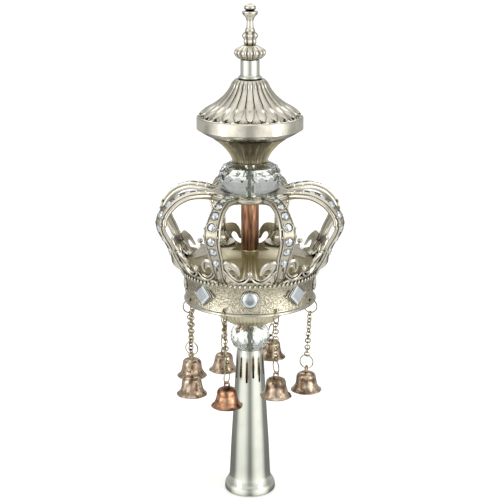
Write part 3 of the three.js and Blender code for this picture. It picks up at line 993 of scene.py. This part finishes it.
@dataclass
class Chatons:
    """Small foiled stones in cup settings, in a row along each arch."""

    arch: Arch
    below: tuple[float, ...] = (0.22, 0.32, 0.412)
    above: tuple[float, ...] = (0.52, 0.612, 0.7, 0.782, 0.858, 0.925)
    sunk: float = 1.2  # how far a setting's foot lies under the arch's face
    girdle: float = 1.35  # height of the middle ring of a stone's facets
    facets: int = 8
    radius: float = 3.05
    pinch: float = 0.6  # share of the radius that is left at the hub and at the root

    def size(self, share: float) -> float:
        """Gives a stone's radius at a share of the arch."""
        return self.radius * lerp(1, self.pinch, max(share - 0.62, 0.3 - share) / 0.4)

    def set_at(self, form: Form, share: float) -> Form:
        """Lays a form made on the origin, facing up, on the arch's floor."""
        point, out = self.arch.place(share)
        right = Vector((1.0, 0.0, 0.0))
        turn = Matrix((right, out.cross(right), out)).transposed().to_4x4()
        return form.moved(Matrix.Translation(point - out * self.sunk) @ turn)

    def settings(self, shares: Sequence[float]) -> Form:
        """Makes the cup settings of one arch."""
        cups = Form()
        for share in shares:
            radius = self.size(share)
            outline = [
                (radius + 0.6, -0.6), (radius + 0.55, 0.7), (radius + 0.4, 1.0), (radius + 0.1, 1.0),
                (radius - 0.05, 0.6), (radius - 0.05, -0.6), (radius + 0.6, -0.6),
            ]
            cups.add(self.set_at(Form.turned(outline, 20), share))
        return cups

    def cut(self, p: Vector) -> Vector:
        """Turns the stone's middle ring by half a facet, so that its facets are kites and triangles."""
        on_girdle = abs(p.z - self.girdle) < 0.01
        return Matrix.Rotation(math.pi / self.facets, 3, "Z") @ p if on_girdle else p

    def stones(self, shares: Sequence[float]) -> Form:
        """Makes the faceted stones of one arch."""
        stones = Form()
        for share in shares:
            radius = self.size(share)
            outline = [
                (0, -0.3), (radius - 0.15, -0.3), (radius - 0.15, 0.55), (radius * 0.7, self.girdle),
                (radius * 0.34, 1.85), (0, 1.85),
            ]
            stone = Form.turned(outline, self.facets).reshaped(self.cut)
            bmesh.ops.triangulate(stone.bm, faces=stone.bm.faces)
            stones.add(self.set_at(stone, share))
        return stones

    def make(self) -> None:
        """Builds and dresses all the stones."""
        stones = self.stones([*self.below, *self.above]).round_about(azimuths(ARCHES, ARCH_OFFSET))
        stones.piece("arch_stones", [Finish.CHATON.material], "clear_stone", crease=None)


@dataclass
class Coronet:
    """Granulated band with a rolled lip, a beaded rim, scrolled cresting and the arches' roots."""

    arch: Arch
    chatons: Chatons
    lip: float = 46.5
    waist: float = 44.0
    rim: float = 48.4
    rim_height: float = 168.0
    floor: float = 152.2
    beads: int = 92
    bead: float = 1.3
    grain: float = 0.3

    def flare(self, height: float) -> float:
        """Gives how far out the cresting stands at a height."""
        rise = max(height - self.rim_height, 0.0)
        return self.rim - 1.2 + 0.3 * rise + 0.011 * rise * rise

    def band(self, bottom: float) -> Form:
        """Makes the band, its floor and the rolled lip."""
        lip = arc((self.lip - 1.1, bottom + 1.1), 1.1, -110, 80, 8)
        wall = flow([
            (self.lip - 1.4, bottom + 2.5), (self.waist + 0.5, bottom + 5), (self.waist, bottom + 8.5),
            (self.waist + 0.1, self.rim_height - 8), (self.waist + 1.2, self.rim_height - 4.6),
            (self.rim - 1.4, self.rim_height - 1.6), (self.rim - 0.9, self.rim_height + 0.4),
            (self.rim - 1, self.rim_height + 2.4),
        ], 12)
        inner = [
            (self.rim - 2.6, self.rim_height + 2.4), (self.rim - 3.2, self.rim_height - 1.4),
            (self.waist - 2, self.rim_height - 5.4), (self.waist - 2, self.floor + 1.4),
            (BORE, self.floor + 1.4), (BORE, self.floor), (self.waist - 2, self.floor),
            (self.lip - 3, bottom + 1),
        ]
        outline = [*lip, *wall, *inner]

        def granulated(p: Vector) -> Vector:
            """Raises grains on the band's outside."""
            radius = math.hypot(p.x, p.y)
            outside = bottom + 3.2 < p.z < self.rim_height - 2 and radius > self.waist - 0.6
            grain = self.grain * noise.noise(p * 1.1) if outside else 0.0
            return Vector((p.x * (1 + grain / radius), p.y * (1 + grain / radius), p.z)) if outside else p

        return Form.turned([*outline, outline[0]], 512).reshaped(granulated)

    def beading(self) -> Form:
        """Makes the row of beads along the rim."""
        bead = Form.ball(self.bead, 6).moved(Matrix.Diagonal((0.82, 0.9, 1.25, 1.0))).spun(18, "Y")
        bead.shifted(0, -(self.rim - 0.6), self.rim_height - 0.6)
        return bead.round_about(azimuths(self.beads))

    def on_cresting(self, form: Form) -> Form:
        """Bends a form round the flaring cresting; x is an azimuth, y the depth below the face."""
        return form.reshaped(lambda p: polar(self.flare(p.z) - p.y, p.x, p.z))

    def cresting(self) -> Form:
        """Makes one bay of the cresting, pierced between the scrolls, with its raised lines."""
        right = [
            *flow([
                (0, 175.6), (1.4, 175.2), (3.4, 173.9), (6.6, 173), (10.4, 172.7), (13.4, 173.6),
                (15.4, 175.8), (15.7, 178.6), (14.2, 180.6), (12.2, 180.4), (10.6, 178.6), (9.4, 176.4),
                (8.2, 175.8), (7.6, 177.2), (8.4, 180.6), (10.2, 184), (13, 186.3), (16, 186.5), (19.5, 186),
            ], 5),
            Vector((19.5, self.rim_height + 0.5)),
        ]
        left = [Vector((-p.x, p.y)) for p in reversed(right[1:])]
        plate = self.on_cresting(Form.slab([*right, *left], 0.0, 1.5))
        lines = [
            [
                (0.4, 175.2), (2, 172.9), (4.4, 170.9), (7.8, 170.2), (11.4, 171), (15, 173.4), (18, 177),
                (19.6, 181),
            ],
            [
                (4.6, 173.4), (7.6, 172.3), (11, 172.9), (14.2, 175.2), (16.2, 178.4), (15.6, 181.4),
                (13.4, 181.8),
            ],
            [(8.1, 176.4), (8.2, 179.4), (9.6, 182.8), (12.2, 185.5), (15.4, 186), (19.4, 185.4)],
        ]
        for points, wire in zip(lines, (0.9, 0.7, 1.15)):
            for side in (-1, 1):
                path = [polar(self.flare(p.y), side * p.x, p.y) for p in flow(points, 6)]
                section = arc((0, 0), wire, 0, 315, 7)
                out = polar(1, 0, 0)
                plate.add(Form.swept(section, stations_along(path, out, lambda s: lerp(0.55, 1, 4 * s))))
        ball = Form.ball(2.05, 10).shifted(0, -self.flare(177.5) - 0.2, 177.5)
        return plate.add(ball)

    def leaf(self) -> Form:
        """Makes the keeled leaf that bulges out at an arch's root, with its rolled edges."""
        keel = Route([(0.0, -48.8, 170.4), (0.0, -53.6, 172.6), (0.0, -57.4, 177.2), (0.0, -58.4, 183.6)])

        def fold(p: Vector) -> Vector:
            """Folds a flat square about the keel; both sides hollow in between keel and edge."""
            share = (p.y + 1) / 2
            ridge = keel.at(share)[0]
            out = abs(p.x)
            half = 6.6 * (1 - share) ** 0.8 + 0.5
            hollow = 4.6 * out ** 0.6 * (1 - 0.35 * share)
            return Vector((p.x * half, ridge.y + hollow, ridge.z + 3.2 * out * (1 - share) + 1.0 * out))

        leaf = Form()
        bmesh.ops.create_grid(leaf.bm, x_segments=16, y_segments=12, size=1.0)
        leaf.reshaped(fold)
        bmesh.ops.recalc_face_normals(leaf.bm, faces=leaf.bm.faces)
        bmesh.ops.solidify(leaf.bm, geom=leaf.bm.faces[:], thickness=0.9)
        for side in (-1, 1):
            path = [fold(Vector((side, lerp(-1, 1, k / 10), 0.0))) for k in range(11)]
            stations = stations_along(path, Vector((0.0, 1.0, 0.4)), lambda share: lerp(1, 0.6, share))
            leaf.add(Form.swept(arc((0, 0), 0.9, 0, 315, 7), stations))
        return leaf.add(Form.ball(1.5, 8).shifted(0, -58.2, 184.2))

    def stub(self) -> Form:
        """Makes an arch's root up to the seam, with its settings."""
        root = self.arch.stretch(0.0, self.arch.seam, 20)
        return root.add(self.chatons.settings(self.chatons.below))

    def make_band(self, bottom: float) -> None:
        """Builds the band, dresses it inside and outside and drills the holes for the rings."""
        form = self.band(bottom)
        for face in form.bm.faces:
            middle = face.calc_center_median()
            outward = face.normal.dot(Vector((middle.x, middle.y, 0.0)).normalized())
            grained = outward > 0.2 and bottom + 3 < middle.z
            smooth_lip = middle.z < bottom + 3
            face.material_index = 1 if grained else 0 if smooth_lip else 2
        finishes = [Finish.BRIGHT.material, Finish.GRAINED.material, Finish.WALL.material]
        band = form.piece("granulated_band", finishes, "bright_nickel", ["coronet"])
        hole = Form()
        bmesh.ops.create_cone(hole.bm, cap_ends=True, segments=16, radius1=1.35, radius2=1.35, depth=6)
        hole.spun(90, "X").shifted(0, -(self.lip - 1.4), bottom + 3.9)
        carve(band, hole.round_about(azimuths(ARCHES, ARCH_OFFSET)), Finish.SLOT.material)

    def make(self) -> None:
        """Builds and dresses the coronet."""
        bottom = span("coronet")[0].z
        self.make_band(bottom)
        bays = self.cresting().round_about(azimuths(ARCHES))
        stubs = self.stub().round_about(azimuths(ARCHES, ARCH_OFFSET))
        leaves = self.leaf().round_about(azimuths(ARCHES, ARCH_OFFSET))
        casting = self.beading().add(bays, stubs, leaves)
        finishes = [Finish.BRIGHT.material, Finish.STRAP.material]
        casting.piece("cresting_and_roots", finishes, "bright_nickel", ["coronet"])


@dataclass
class CrownTop:
    """The eight arches above the seam and the hub that gathers them under the upper bead."""

    arch: Arch
    chatons: Chatons
    radius: float = 30.2
    bore: float = 7.2
    hub_height: float = 2.5
    petals: int = 28

    def hub(self, bottom: float, top: float) -> Form:
        """Makes the hub: a smooth round rim and a raised collar of small petals."""
        rim = arc((self.radius - 1.8, bottom + 1.8), 1.8, -90, 110, 10)
        outline = [
            (self.bore, bottom + 0.4), (self.radius - 5, bottom + 0.4), *rim,
            *flow([(self.radius - 3, bottom + 3.4), (24, bottom + 4.2), (19.4, bottom + 4.6), (16, top)], 5),
            (self.bore, top), (self.bore, bottom + 0.4),
        ]
        hub = Form.turned(outline, 128)
        petal = Form.ball(1.15, 6).shifted(0, -17.4, top - 0.2)
        seed = Form.ball(0.9, 6).shifted(0, -20.6, top - 1.2)
        hub.add(petal.round_about(azimuths(self.petals)))
        return hub.add(seed.round_about(azimuths(self.petals, 180 / self.petals)))

    def make(self) -> None:
        """Builds and dresses the crown's top."""
        top = span("upper_bead")[0].z - 0.3
        arch = self.arch.stretch(self.arch.seam + self.arch.seam_gap, 1.0, 34)
        arch.add(self.chatons.settings(self.chatons.above))
        knob = Form.ball(0.8, 6)  # four of them sit on the rails just above the seam
        for side in (-1, 1):
            for share in (self.arch.seam + 0.01, self.arch.seam + 0.07):
                point, out = self.arch.place(share)
                on_rail = Matrix.Translation(point - out * 0.8)
                arch.add(knob.copied().moved(on_rail).shifted(side * 4.9, 0, 0))
        knob.bm.free()
        form = self.hub(top - self.hub_height, top).add(arch.round_about(azimuths(ARCHES, ARCH_OFFSET)))
        finishes = [Finish.BRIGHT.material, Finish.STRAP.material]
        form.piece("crown_top", finishes, "bright_nickel", ["crown_arches"])


@dataclass
class BandStones:
    """Flat foiled stones round the band: round ones in collars, square ones on a corner in wire frames."""

    seat: float = 44.4
    height: float = 157.6
    frame_gap: float = 0.9

    def place(self, azimuth: float) -> Matrix:
        """Gives the matrix that stands a stone made on the origin, facing up, on the band."""
        turn = Matrix.Rotation(math.radians(azimuth), 4, "Z") @ Matrix.Rotation(math.pi / 2, 4, "X")
        return Matrix.Translation(polar(self.seat + 0.3, azimuth, self.height)) @ turn

    def round_stone(self, number: int, azimuth: float) -> None:
        """Builds a round stone with a low dome and its collar."""
        node = f"round_stone_{number}"
        low, high = span(node)
        radius = (high.z - low.z) / 2
        dome = flow([(radius - 0.5, 1.3), (radius * 0.6, 1.8), (0, 2)], 4)
        stone = Form.turned([(0, 0), (radius, 0), (radius, 0.7), *dome], 48)
        edge = arc((radius + 0.4, 0.75), 0.35, 180, 0, 5)
        foot = (radius + 0.05, -0.6)
        collar = Form.turned([foot, (radius + 0.05, 0.6), *edge, (radius + 0.8, -0.6), foot], 48)
        place = self.place(azimuth)
        stone.moved(place).piece(f"round_stone_set_{number}", [Finish.STONE.material], "clear_stone", [node])
        collar.moved(place).piece(f"round_collar_{number}", [Finish.BRIGHT.material], "bright_nickel")

    def square_stone(self, number: int, azimuth: float) -> None:
        """Builds a square stone that stands on its corner and its double wire frame."""
        node = f"square_stone_{number}"
        low, high = span(node)
        radius = (high.z - low.z) / 2 + 0.3
        outline = [(0, 0), (radius, 0), (radius, 0.8), (radius * 0.78, 1.9), (0, 1.9)]
        stone = Form.turned(outline, 4)
        frames = Form.hoop(radius + self.frame_gap, 0.4, 4, 8).shifted(0, 0, 0.2)
        spur = Form.ball(0.7, 6).moved(Matrix.Diagonal((2.4, 0.8, 0.8, 1.0)))
        for side in (-1, 1):
            frames.add(spur.copied().shifted(side * (radius + self.frame_gap + 1.2), 0, -0.5))
        spur.bm.free()
        outer = Form.hoop(radius + 2.9, 0.35, 4, 8).moved(Matrix.Diagonal((1.0, 0.86, 1.0, 1.0)))
        frames.add(outer.shifted(0, 0, -0.4))
        place = self.place(azimuth)
        stone.moved(place).piece(
            f"square_stone_set_{number}", [Finish.STONE.material], "clear_stone", [node], crease=None)
        frames.moved(place).piece(f"square_frame_{number}", [Finish.BRIGHT.material], "bright_nickel")

    def make(self) -> None:
        """Builds and dresses the eight stones."""
        for number, azimuth in enumerate(azimuths(4), 1):
            self.round_stone(number, azimuth)
        for number, azimuth in enumerate(azimuths(4, ARCH_STEP), 1):
            self.square_stone(number, azimuth)


@dataclass
class CrownInside:
    """Fluted collar, copper sleeve and centre rod inside the crown and the beads."""

    sleeve_radius: float = 6.2

    def collar(self) -> None:
        """Builds the waisted collar that carries the sleeve."""
        low, high = span("inner_collar")
        bottom, top = low.z, high.z
        outer = flow([
            (11, bottom), (10.6, bottom + 3), (7.6, bottom + 8.6), (6.2, bottom + 13), (5.5, top - 8.5),
            (6.2, top - 2.4), (6.4, top - 0.6),
        ])
        outline = [(BORE, bottom), *outer, (6.3, top), (BORE, top), (BORE, bottom)]

        def depth(radius: float, height: float, across: float) -> float:
            """Sinks eight soft flutes between the collar's plain ends."""
            inside = min(height - bottom - 1, top - 1.5 - height) / 2
            return 0.8 * across ** 2 * lerp(0, 1, inside) if radius > 5 else 0.0

        form = Form.turned(outline, 96).reshaped(fluted(8, depth))
        form.piece("fluted_collar", [Finish.TONED.material], "antiqued_nickel", ["inner_collar"])

    def sleeve(self) -> None:
        """Builds the bare copper sleeve."""
        low, high = span("copper_sleeve")
        radius, bore = self.sleeve_radius, BORE + 1.6
        outline = [(bore, low.z), (radius, low.z), (radius, high.z), (bore, high.z), (bore, low.z)]
        form = Form.turned(outline, 64).rounded(0.25)
        form.piece("bare_copper_sleeve", [Finish.COPPER.material], "aged_copper", ["copper_sleeve"])

    def make(self) -> None:
        """Builds and dresses what stands inside the crown."""
        self.collar()
        self.sleeve()
        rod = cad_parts["centre_rod"]
        rod.data.materials.clear()
        rod.data.materials.append(Finish.STEEL.material)


# ---------------------------------------------------------------- bells


@dataclass
class BellDrop:
    """A bell with its clapper, on a chain of wire links between two rings."""

    number: int
    azimuth: float
    ring: float = 4.8
    ring_wire: float = 0.42
    link_wire: float = 0.44
    link_half: float = 1.75
    pitch: float = 2.55
    twist: float = 7.0  # how far each link lags behind a quarter turn, in degrees
    lip_radius: float = 10.9
    height: float = 13.0
    skin: float = 0.7

    def bell(self, centre: Vector) -> None:
        """Builds the stamped bell: round shoulder, straight waist and flaring lip."""
        top = self.height
        outer = flow([
            (0, top), (3.4, top - 0.15), (5.6, top - 0.9), (6.7, top - 2.6), (7.1, top - 5.6), (7.7, 4.6),
            (8.9, 2), (10.2, 0.6), (self.lip_radius, 0.15),
        ], 5)
        inner = flow([
            (self.lip_radius - 0.3, -0.15), (8.3, 1.4), (7, 4.2), (6.3, top - 5.6), (5.8, top - 2.8),
            (4.4, top - 1.4), (0, top - self.skin),
        ], 5)
        body = Form.turned([*outer, *inner], 56)
        seed = Vector((self.number * 7.3, 0.0, 0.0))

        def dented(p: Vector) -> Vector:
            """Leaves the small dents of stamping and wear."""
            dent = noise.noise(p * 0.22 + seed) * 0.5 + noise.noise(p * 0.6 + seed) * 0.14
            out = Vector((p.x, p.y, 0.0))
            return p + out * (dent / 12)

        body.reshaped(dented)
        hanger = Form.hoop(1.75, 0.55, 16, 8).moved(Matrix.Diagonal((1.0, 1.35, 1.5, 1.0))).spun(90, "X")
        body.add(hanger.shifted(0, 0, top + 1.9))
        body.spun(self.azimuth).moved(Matrix.Translation(centre))
        name = f"bell_{self.number}"
        finish = Finish.COPPERED if self.number == 1 else Finish.BELL
        body.piece(f"stamped_{name}", [finish.material], "bell_metal", [name], crease=50)

    def clapper(self, centre: Vector) -> None:
        """Builds the flat tongue that hangs in the bell."""
        low, high = span(f"clapper_{self.number}")
        length = high.z - low.z
        paddle = flow([
            (0.8, -0.74 * length), (1.7, -0.84 * length), (1.6, -0.94 * length), (0.7, -length),
        ], 4)
        half = [(0.5, 0), (0.5, -0.66 * length), *paddle]
        outline = [*half, *[(-x, z) for x, z in reversed(half)]]
        tongue = Form.slab(outline, -0.3, 0.3).shifted(centre.x, centre.y, high.z)
        name = f"clapper_{self.number}"
        tongue.piece(f"flat_{name}", [Finish.BELL.material], "bell_metal", [name])

    def link(self, length: float) -> Form:
        """Makes an oval wire link about the origin, standing along Z; length is its clear inner length."""
        stretch = length / 2 + self.link_wire - self.link_half
        oval = Form.hoop(self.link_half, self.link_wire, 14, 6).spun(90, "X")

        def drawn(p: Vector) -> Vector:
            """Moves the upper bend up and the lower bend down, or both in where the link is short."""
            return p + UP * stretch * math.copysign(1, p.z) if abs(p.z) > 0.01 else p

        return oval.reshaped(drawn)

    def chain(self, centre: Vector) -> None:
        """Builds the two rings and the links, each turned a quarter to the next one."""
        name = f"chain_{self.number}"
        low, high = span(name)
        reach = self.ring + self.ring_wire
        top = polar(RING_CIRCLE, self.azimuth, high.z - reach)
        end = Vector((centre.x, centre.y, low.z + reach))
        drop = end - top
        free = drop.length - 2 * (self.ring - self.ring_wire)
        count = round(free / self.pitch)
        clear = free / count
        rings = [Form.hoop(self.ring, self.ring_wire, 32, 8).spun(90, "X").spun(90) for _ in range(2)]
        chain = rings[0].add(rings[1].shifted(0, 0, -drop.length))
        for i in range(count):
            middle = -(self.ring - self.ring_wire) - (i + 0.5) * clear
            chain.add(self.link(clear).spun((90 - self.twist) * (i + 1) + 90).shifted(0, 0, middle))
        hang = (-UP).rotation_difference(drop).to_matrix().to_4x4()
        chain.spun(self.azimuth).moved(Matrix.Translation(top) @ hang)
        chain.piece(f"linked_{name}", [Finish.WIRE.material], "chain_wire", [name])

    def make(self) -> None:
        """Builds and dresses the bell, its clapper and its chain."""
        low, high = span(f"bell_{self.number}")
        centre = Vector(((low.x + high.x) / 2, (low.y + high.y) / 2, low.z))
        self.bell(centre)
        self.clapper(centre)
        self.chain(centre)


# ---------------------------------------------------------------- studio


@dataclass
class Studio:
    """Pale floor, soft light from both sides and the camera."""

    distance: float = 0.860
    eye: float = 0.415
    pitch: float = 15.2707
    focal: float = 91.93  # mm, on a 36 mm sensor
    # brightness of the room without the two light walls: height of the direction and brightness
    room: tuple[tuple[float, float], ...] = (
        (-1.0, 0.95), (-0.75, 0.7), (-0.46, 0.2), (-0.36, 0.22), (-0.17, 0.55), (0.1, 0.5), (0.5, 0.4),
        (0.8, 0.8), (1.0, 1.1),
    )
    # brightness that the light walls add
    walls: tuple[tuple[float, float], ...] = (
        (-1.0, 0.0), (-0.7, 0.25), (-0.36, 0.92), (-0.17, 1.0), (0.35, 0.9), (0.75, 0.3), (1.0, 0.0),
    )
    wall_azimuth: float = 52.0  # where the middle of a light wall stands, left and right of the camera
    wall_core: float = 14.0  # half the width that is fully bright, in degrees
    wall_end: float = 46.0  # where it has faded
    wall_strength: tuple[float, float] = (0.92, 1.08)  # left and right

    def camera(self) -> None:
        """Sets up the camera in front of the finial, a little above its crown."""
        data = bpy.data.cameras.new("camera")
        data.lens, data.sensor_width = self.focal, 36
        data.clip_start, data.clip_end = 0.05, 20
        camera = bpy.data.objects.new("camera", data)
        camera.location = (0.0, -self.distance, self.eye)
        camera.rotation_euler = (math.radians(90 - self.pitch), 0.0, 0.0)
        bpy.context.scene.collection.objects.link(camera)
        bpy.context.scene.camera = camera

    def floor(self) -> None:
        """Lays a plain pale floor."""
        form = Form()
        bmesh.ops.create_grid(form.bm, x_segments=1, y_segments=1, size=25.0)
        mesh = bpy.data.meshes.new("floor")
        form.bm.to_mesh(mesh)
        form.bm.free()
        floor = bpy.data.objects.new("floor", mesh)
        bpy.context.scene.collection.objects.link(floor)
        material, tree = fresh_tree("pale_paper")
        shader = add_node(
            tree, "BsdfPrincipled",
            {"Base Color": linear("#f6f6f4"), "Roughness": 0.9, "Emission Color": linear("#ffffff"),
             "Emission Strength": 0.3},
        )
        add_node(tree, "OutputMaterial", {"Surface": shader.outputs["BSDF"]})
        mesh.materials.append(material)
        floor.visible_glossy = False  # metal mirrors the room instead, as over a glass table

    def softbox(
        self, name: str, azimuth: float, height: float, size: tuple[float, float], watts: float
    ) -> None:
        """Sets a large soft light at an azimuth, aimed at the crown.

        Args:
            name: The light's name.
            azimuth: Where it stands, in degrees from the front.
            height: How high its middle is, in metres.
            size: Its width and height, in metres.
            watts: Its power.
        """
        data = bpy.data.lights.new(name, "AREA")
        data.shape, data.size, data.size_y, data.energy = "RECTANGLE", size[0], size[1], watts
        light = bpy.data.objects.new(name, data)
        light.location = polar(1.1, azimuth, height)
        aim = Vector((0.0, 0.0, 0.18)) - light.location
        light.rotation_euler = aim.to_track_quat("-Z", "Y").to_euler()
        light.visible_camera = False
        bpy.context.scene.collection.objects.link(light)

    def by_height(
        self, tree: bpy.types.NodeTree, height: bpy.types.NodeSocket, stops: Sequence[tuple[float, float]]
    ) -> bpy.types.NodeSocket:
        """Gives a brightness that depends on how far a direction points up.

        Args:
            tree: The world's node tree.
            height: The direction's height, -1 to 1.
            stops: Heights and brightnesses, in order.

        Returns:
            The output that holds the brightness.
        """
        place = add_node(
            tree, "MapRange", {"Value": height, "From Min": -1.0, "From Max": 1.0},
        ).outputs["Result"]
        ramp = add_node(tree, "ValToRGB", {"Fac": place})
        elements = ramp.color_ramp.elements
        elements.remove(elements[1])
        for number, (level, light) in enumerate(stops):
            stop = elements[0] if number == 0 else elements.new((level + 1) / 2)
            stop.position, stop.color = (level + 1) / 2, (light, light, light, 1.0)
        return ramp.outputs["Color"]

    def light_wall(
        self, tree: bpy.types.NodeTree, heading: bpy.types.NodeSocket, azimuth: float, strength: float
    ) -> bpy.types.NodeSocket:
        """Gives how fully a heading looks at a light wall.

        Args:
            tree: The world's node tree.
            heading: The level unit vector of the direction.
            azimuth: Where the wall's middle stands.
            strength: The result at its middle.

        Returns:
            The output that holds it.
        """
        facing = add_node(
            tree, "VectorMath", {0: heading, 1: polar(1, azimuth, 0)}, operation="DOT_PRODUCT",
        ).outputs["Value"]
        end, core = (math.cos(math.radians(angle)) for angle in (self.wall_end, self.wall_core))
        return add_node(
            tree, "MapRange", {"Value": facing, "From Min": end, "From Max": core, "To Max": strength},
        ).outputs["Result"]

    def surroundings(self) -> None:
        """Lights the room: a light wall on either side, dimmer in front and behind, so metal has depth."""
        world = bpy.data.worlds.new("studio")
        world.use_nodes = True
        tree = world.node_tree
        tree.nodes.clear()
        direction = add_node(tree, "TexCoord").outputs["Generated"]
        parts = add_node(tree, "SeparateXYZ", {"Vector": direction}).outputs
        level = add_node(tree, "CombineXYZ", {"X": parts["X"], "Y": parts["Y"]}).outputs["Vector"]
        heading = add_node(tree, "VectorMath", {0: level}, operation="NORMALIZE").outputs["Vector"]
        left = self.light_wall(tree, heading, -self.wall_azimuth, self.wall_strength[0])
        right = self.light_wall(tree, heading, self.wall_azimuth, self.wall_strength[1])
        both = add_node(tree, "Math", {0: left, 1: right}, operation="MAXIMUM").outputs["Value"]
        walls = self.by_height(tree, parts["Z"], self.walls)
        room = self.by_height(tree, parts["Z"], self.room)
        light = add_node(
            tree, "Math", {0: walls, 1: both, 2: room}, operation="MULTIPLY_ADD",
        ).outputs["Value"]
        background = add_node(tree, "Background", {"Color": linear("#ffffff"), "Strength": light})
        add_node(tree, "OutputWorld", {"Surface": background.outputs["Background"]})
        bpy.context.scene.world = world

    def make(self) -> None:
        """Sets up the studio."""
        self.camera()
        self.floor()
        self.softbox("left_softbox", -58, 0.5, (0.35, 1.0), 1.6)
        self.softbox("right_softbox", 58, 0.5, (0.35, 1.0), 2.0)
        self.softbox("top_softbox", 180, 1.3, (1.4, 0.8), 4.0)
        self.surroundings()
        bpy.context.scene.view_settings.view_transform = "Standard"


def main() -> None:
    """Builds the studio and the whole finial, in order from its foot to its tip."""
    logging.basicConfig(level=logging.INFO, format="%(name)s: %(message)s")
    Studio().make()
    arch = Arch()
    chatons = Chatons(arch)
    parts = [
        Socket(), Bead("lower_bead", "lower_crystal_bead"), RibbedBowl(), Coronet(arch, chatons),
        CrownInside(), CrownTop(arch, chatons), chatons, BandStones(),
        Bead("upper_bead", "upper_crystal_bead"), TrumpetCup(), Canopy(), Neck(), Spire(),
        *[BellDrop(number, azimuth) for number, azimuth in enumerate(BELL_AZIMUTHS, 1)],
    ]
    for part in parts:
        LOG.info("building %s", type(part).__name__)
        part.make()


if __name__ == "__main__":
    main()
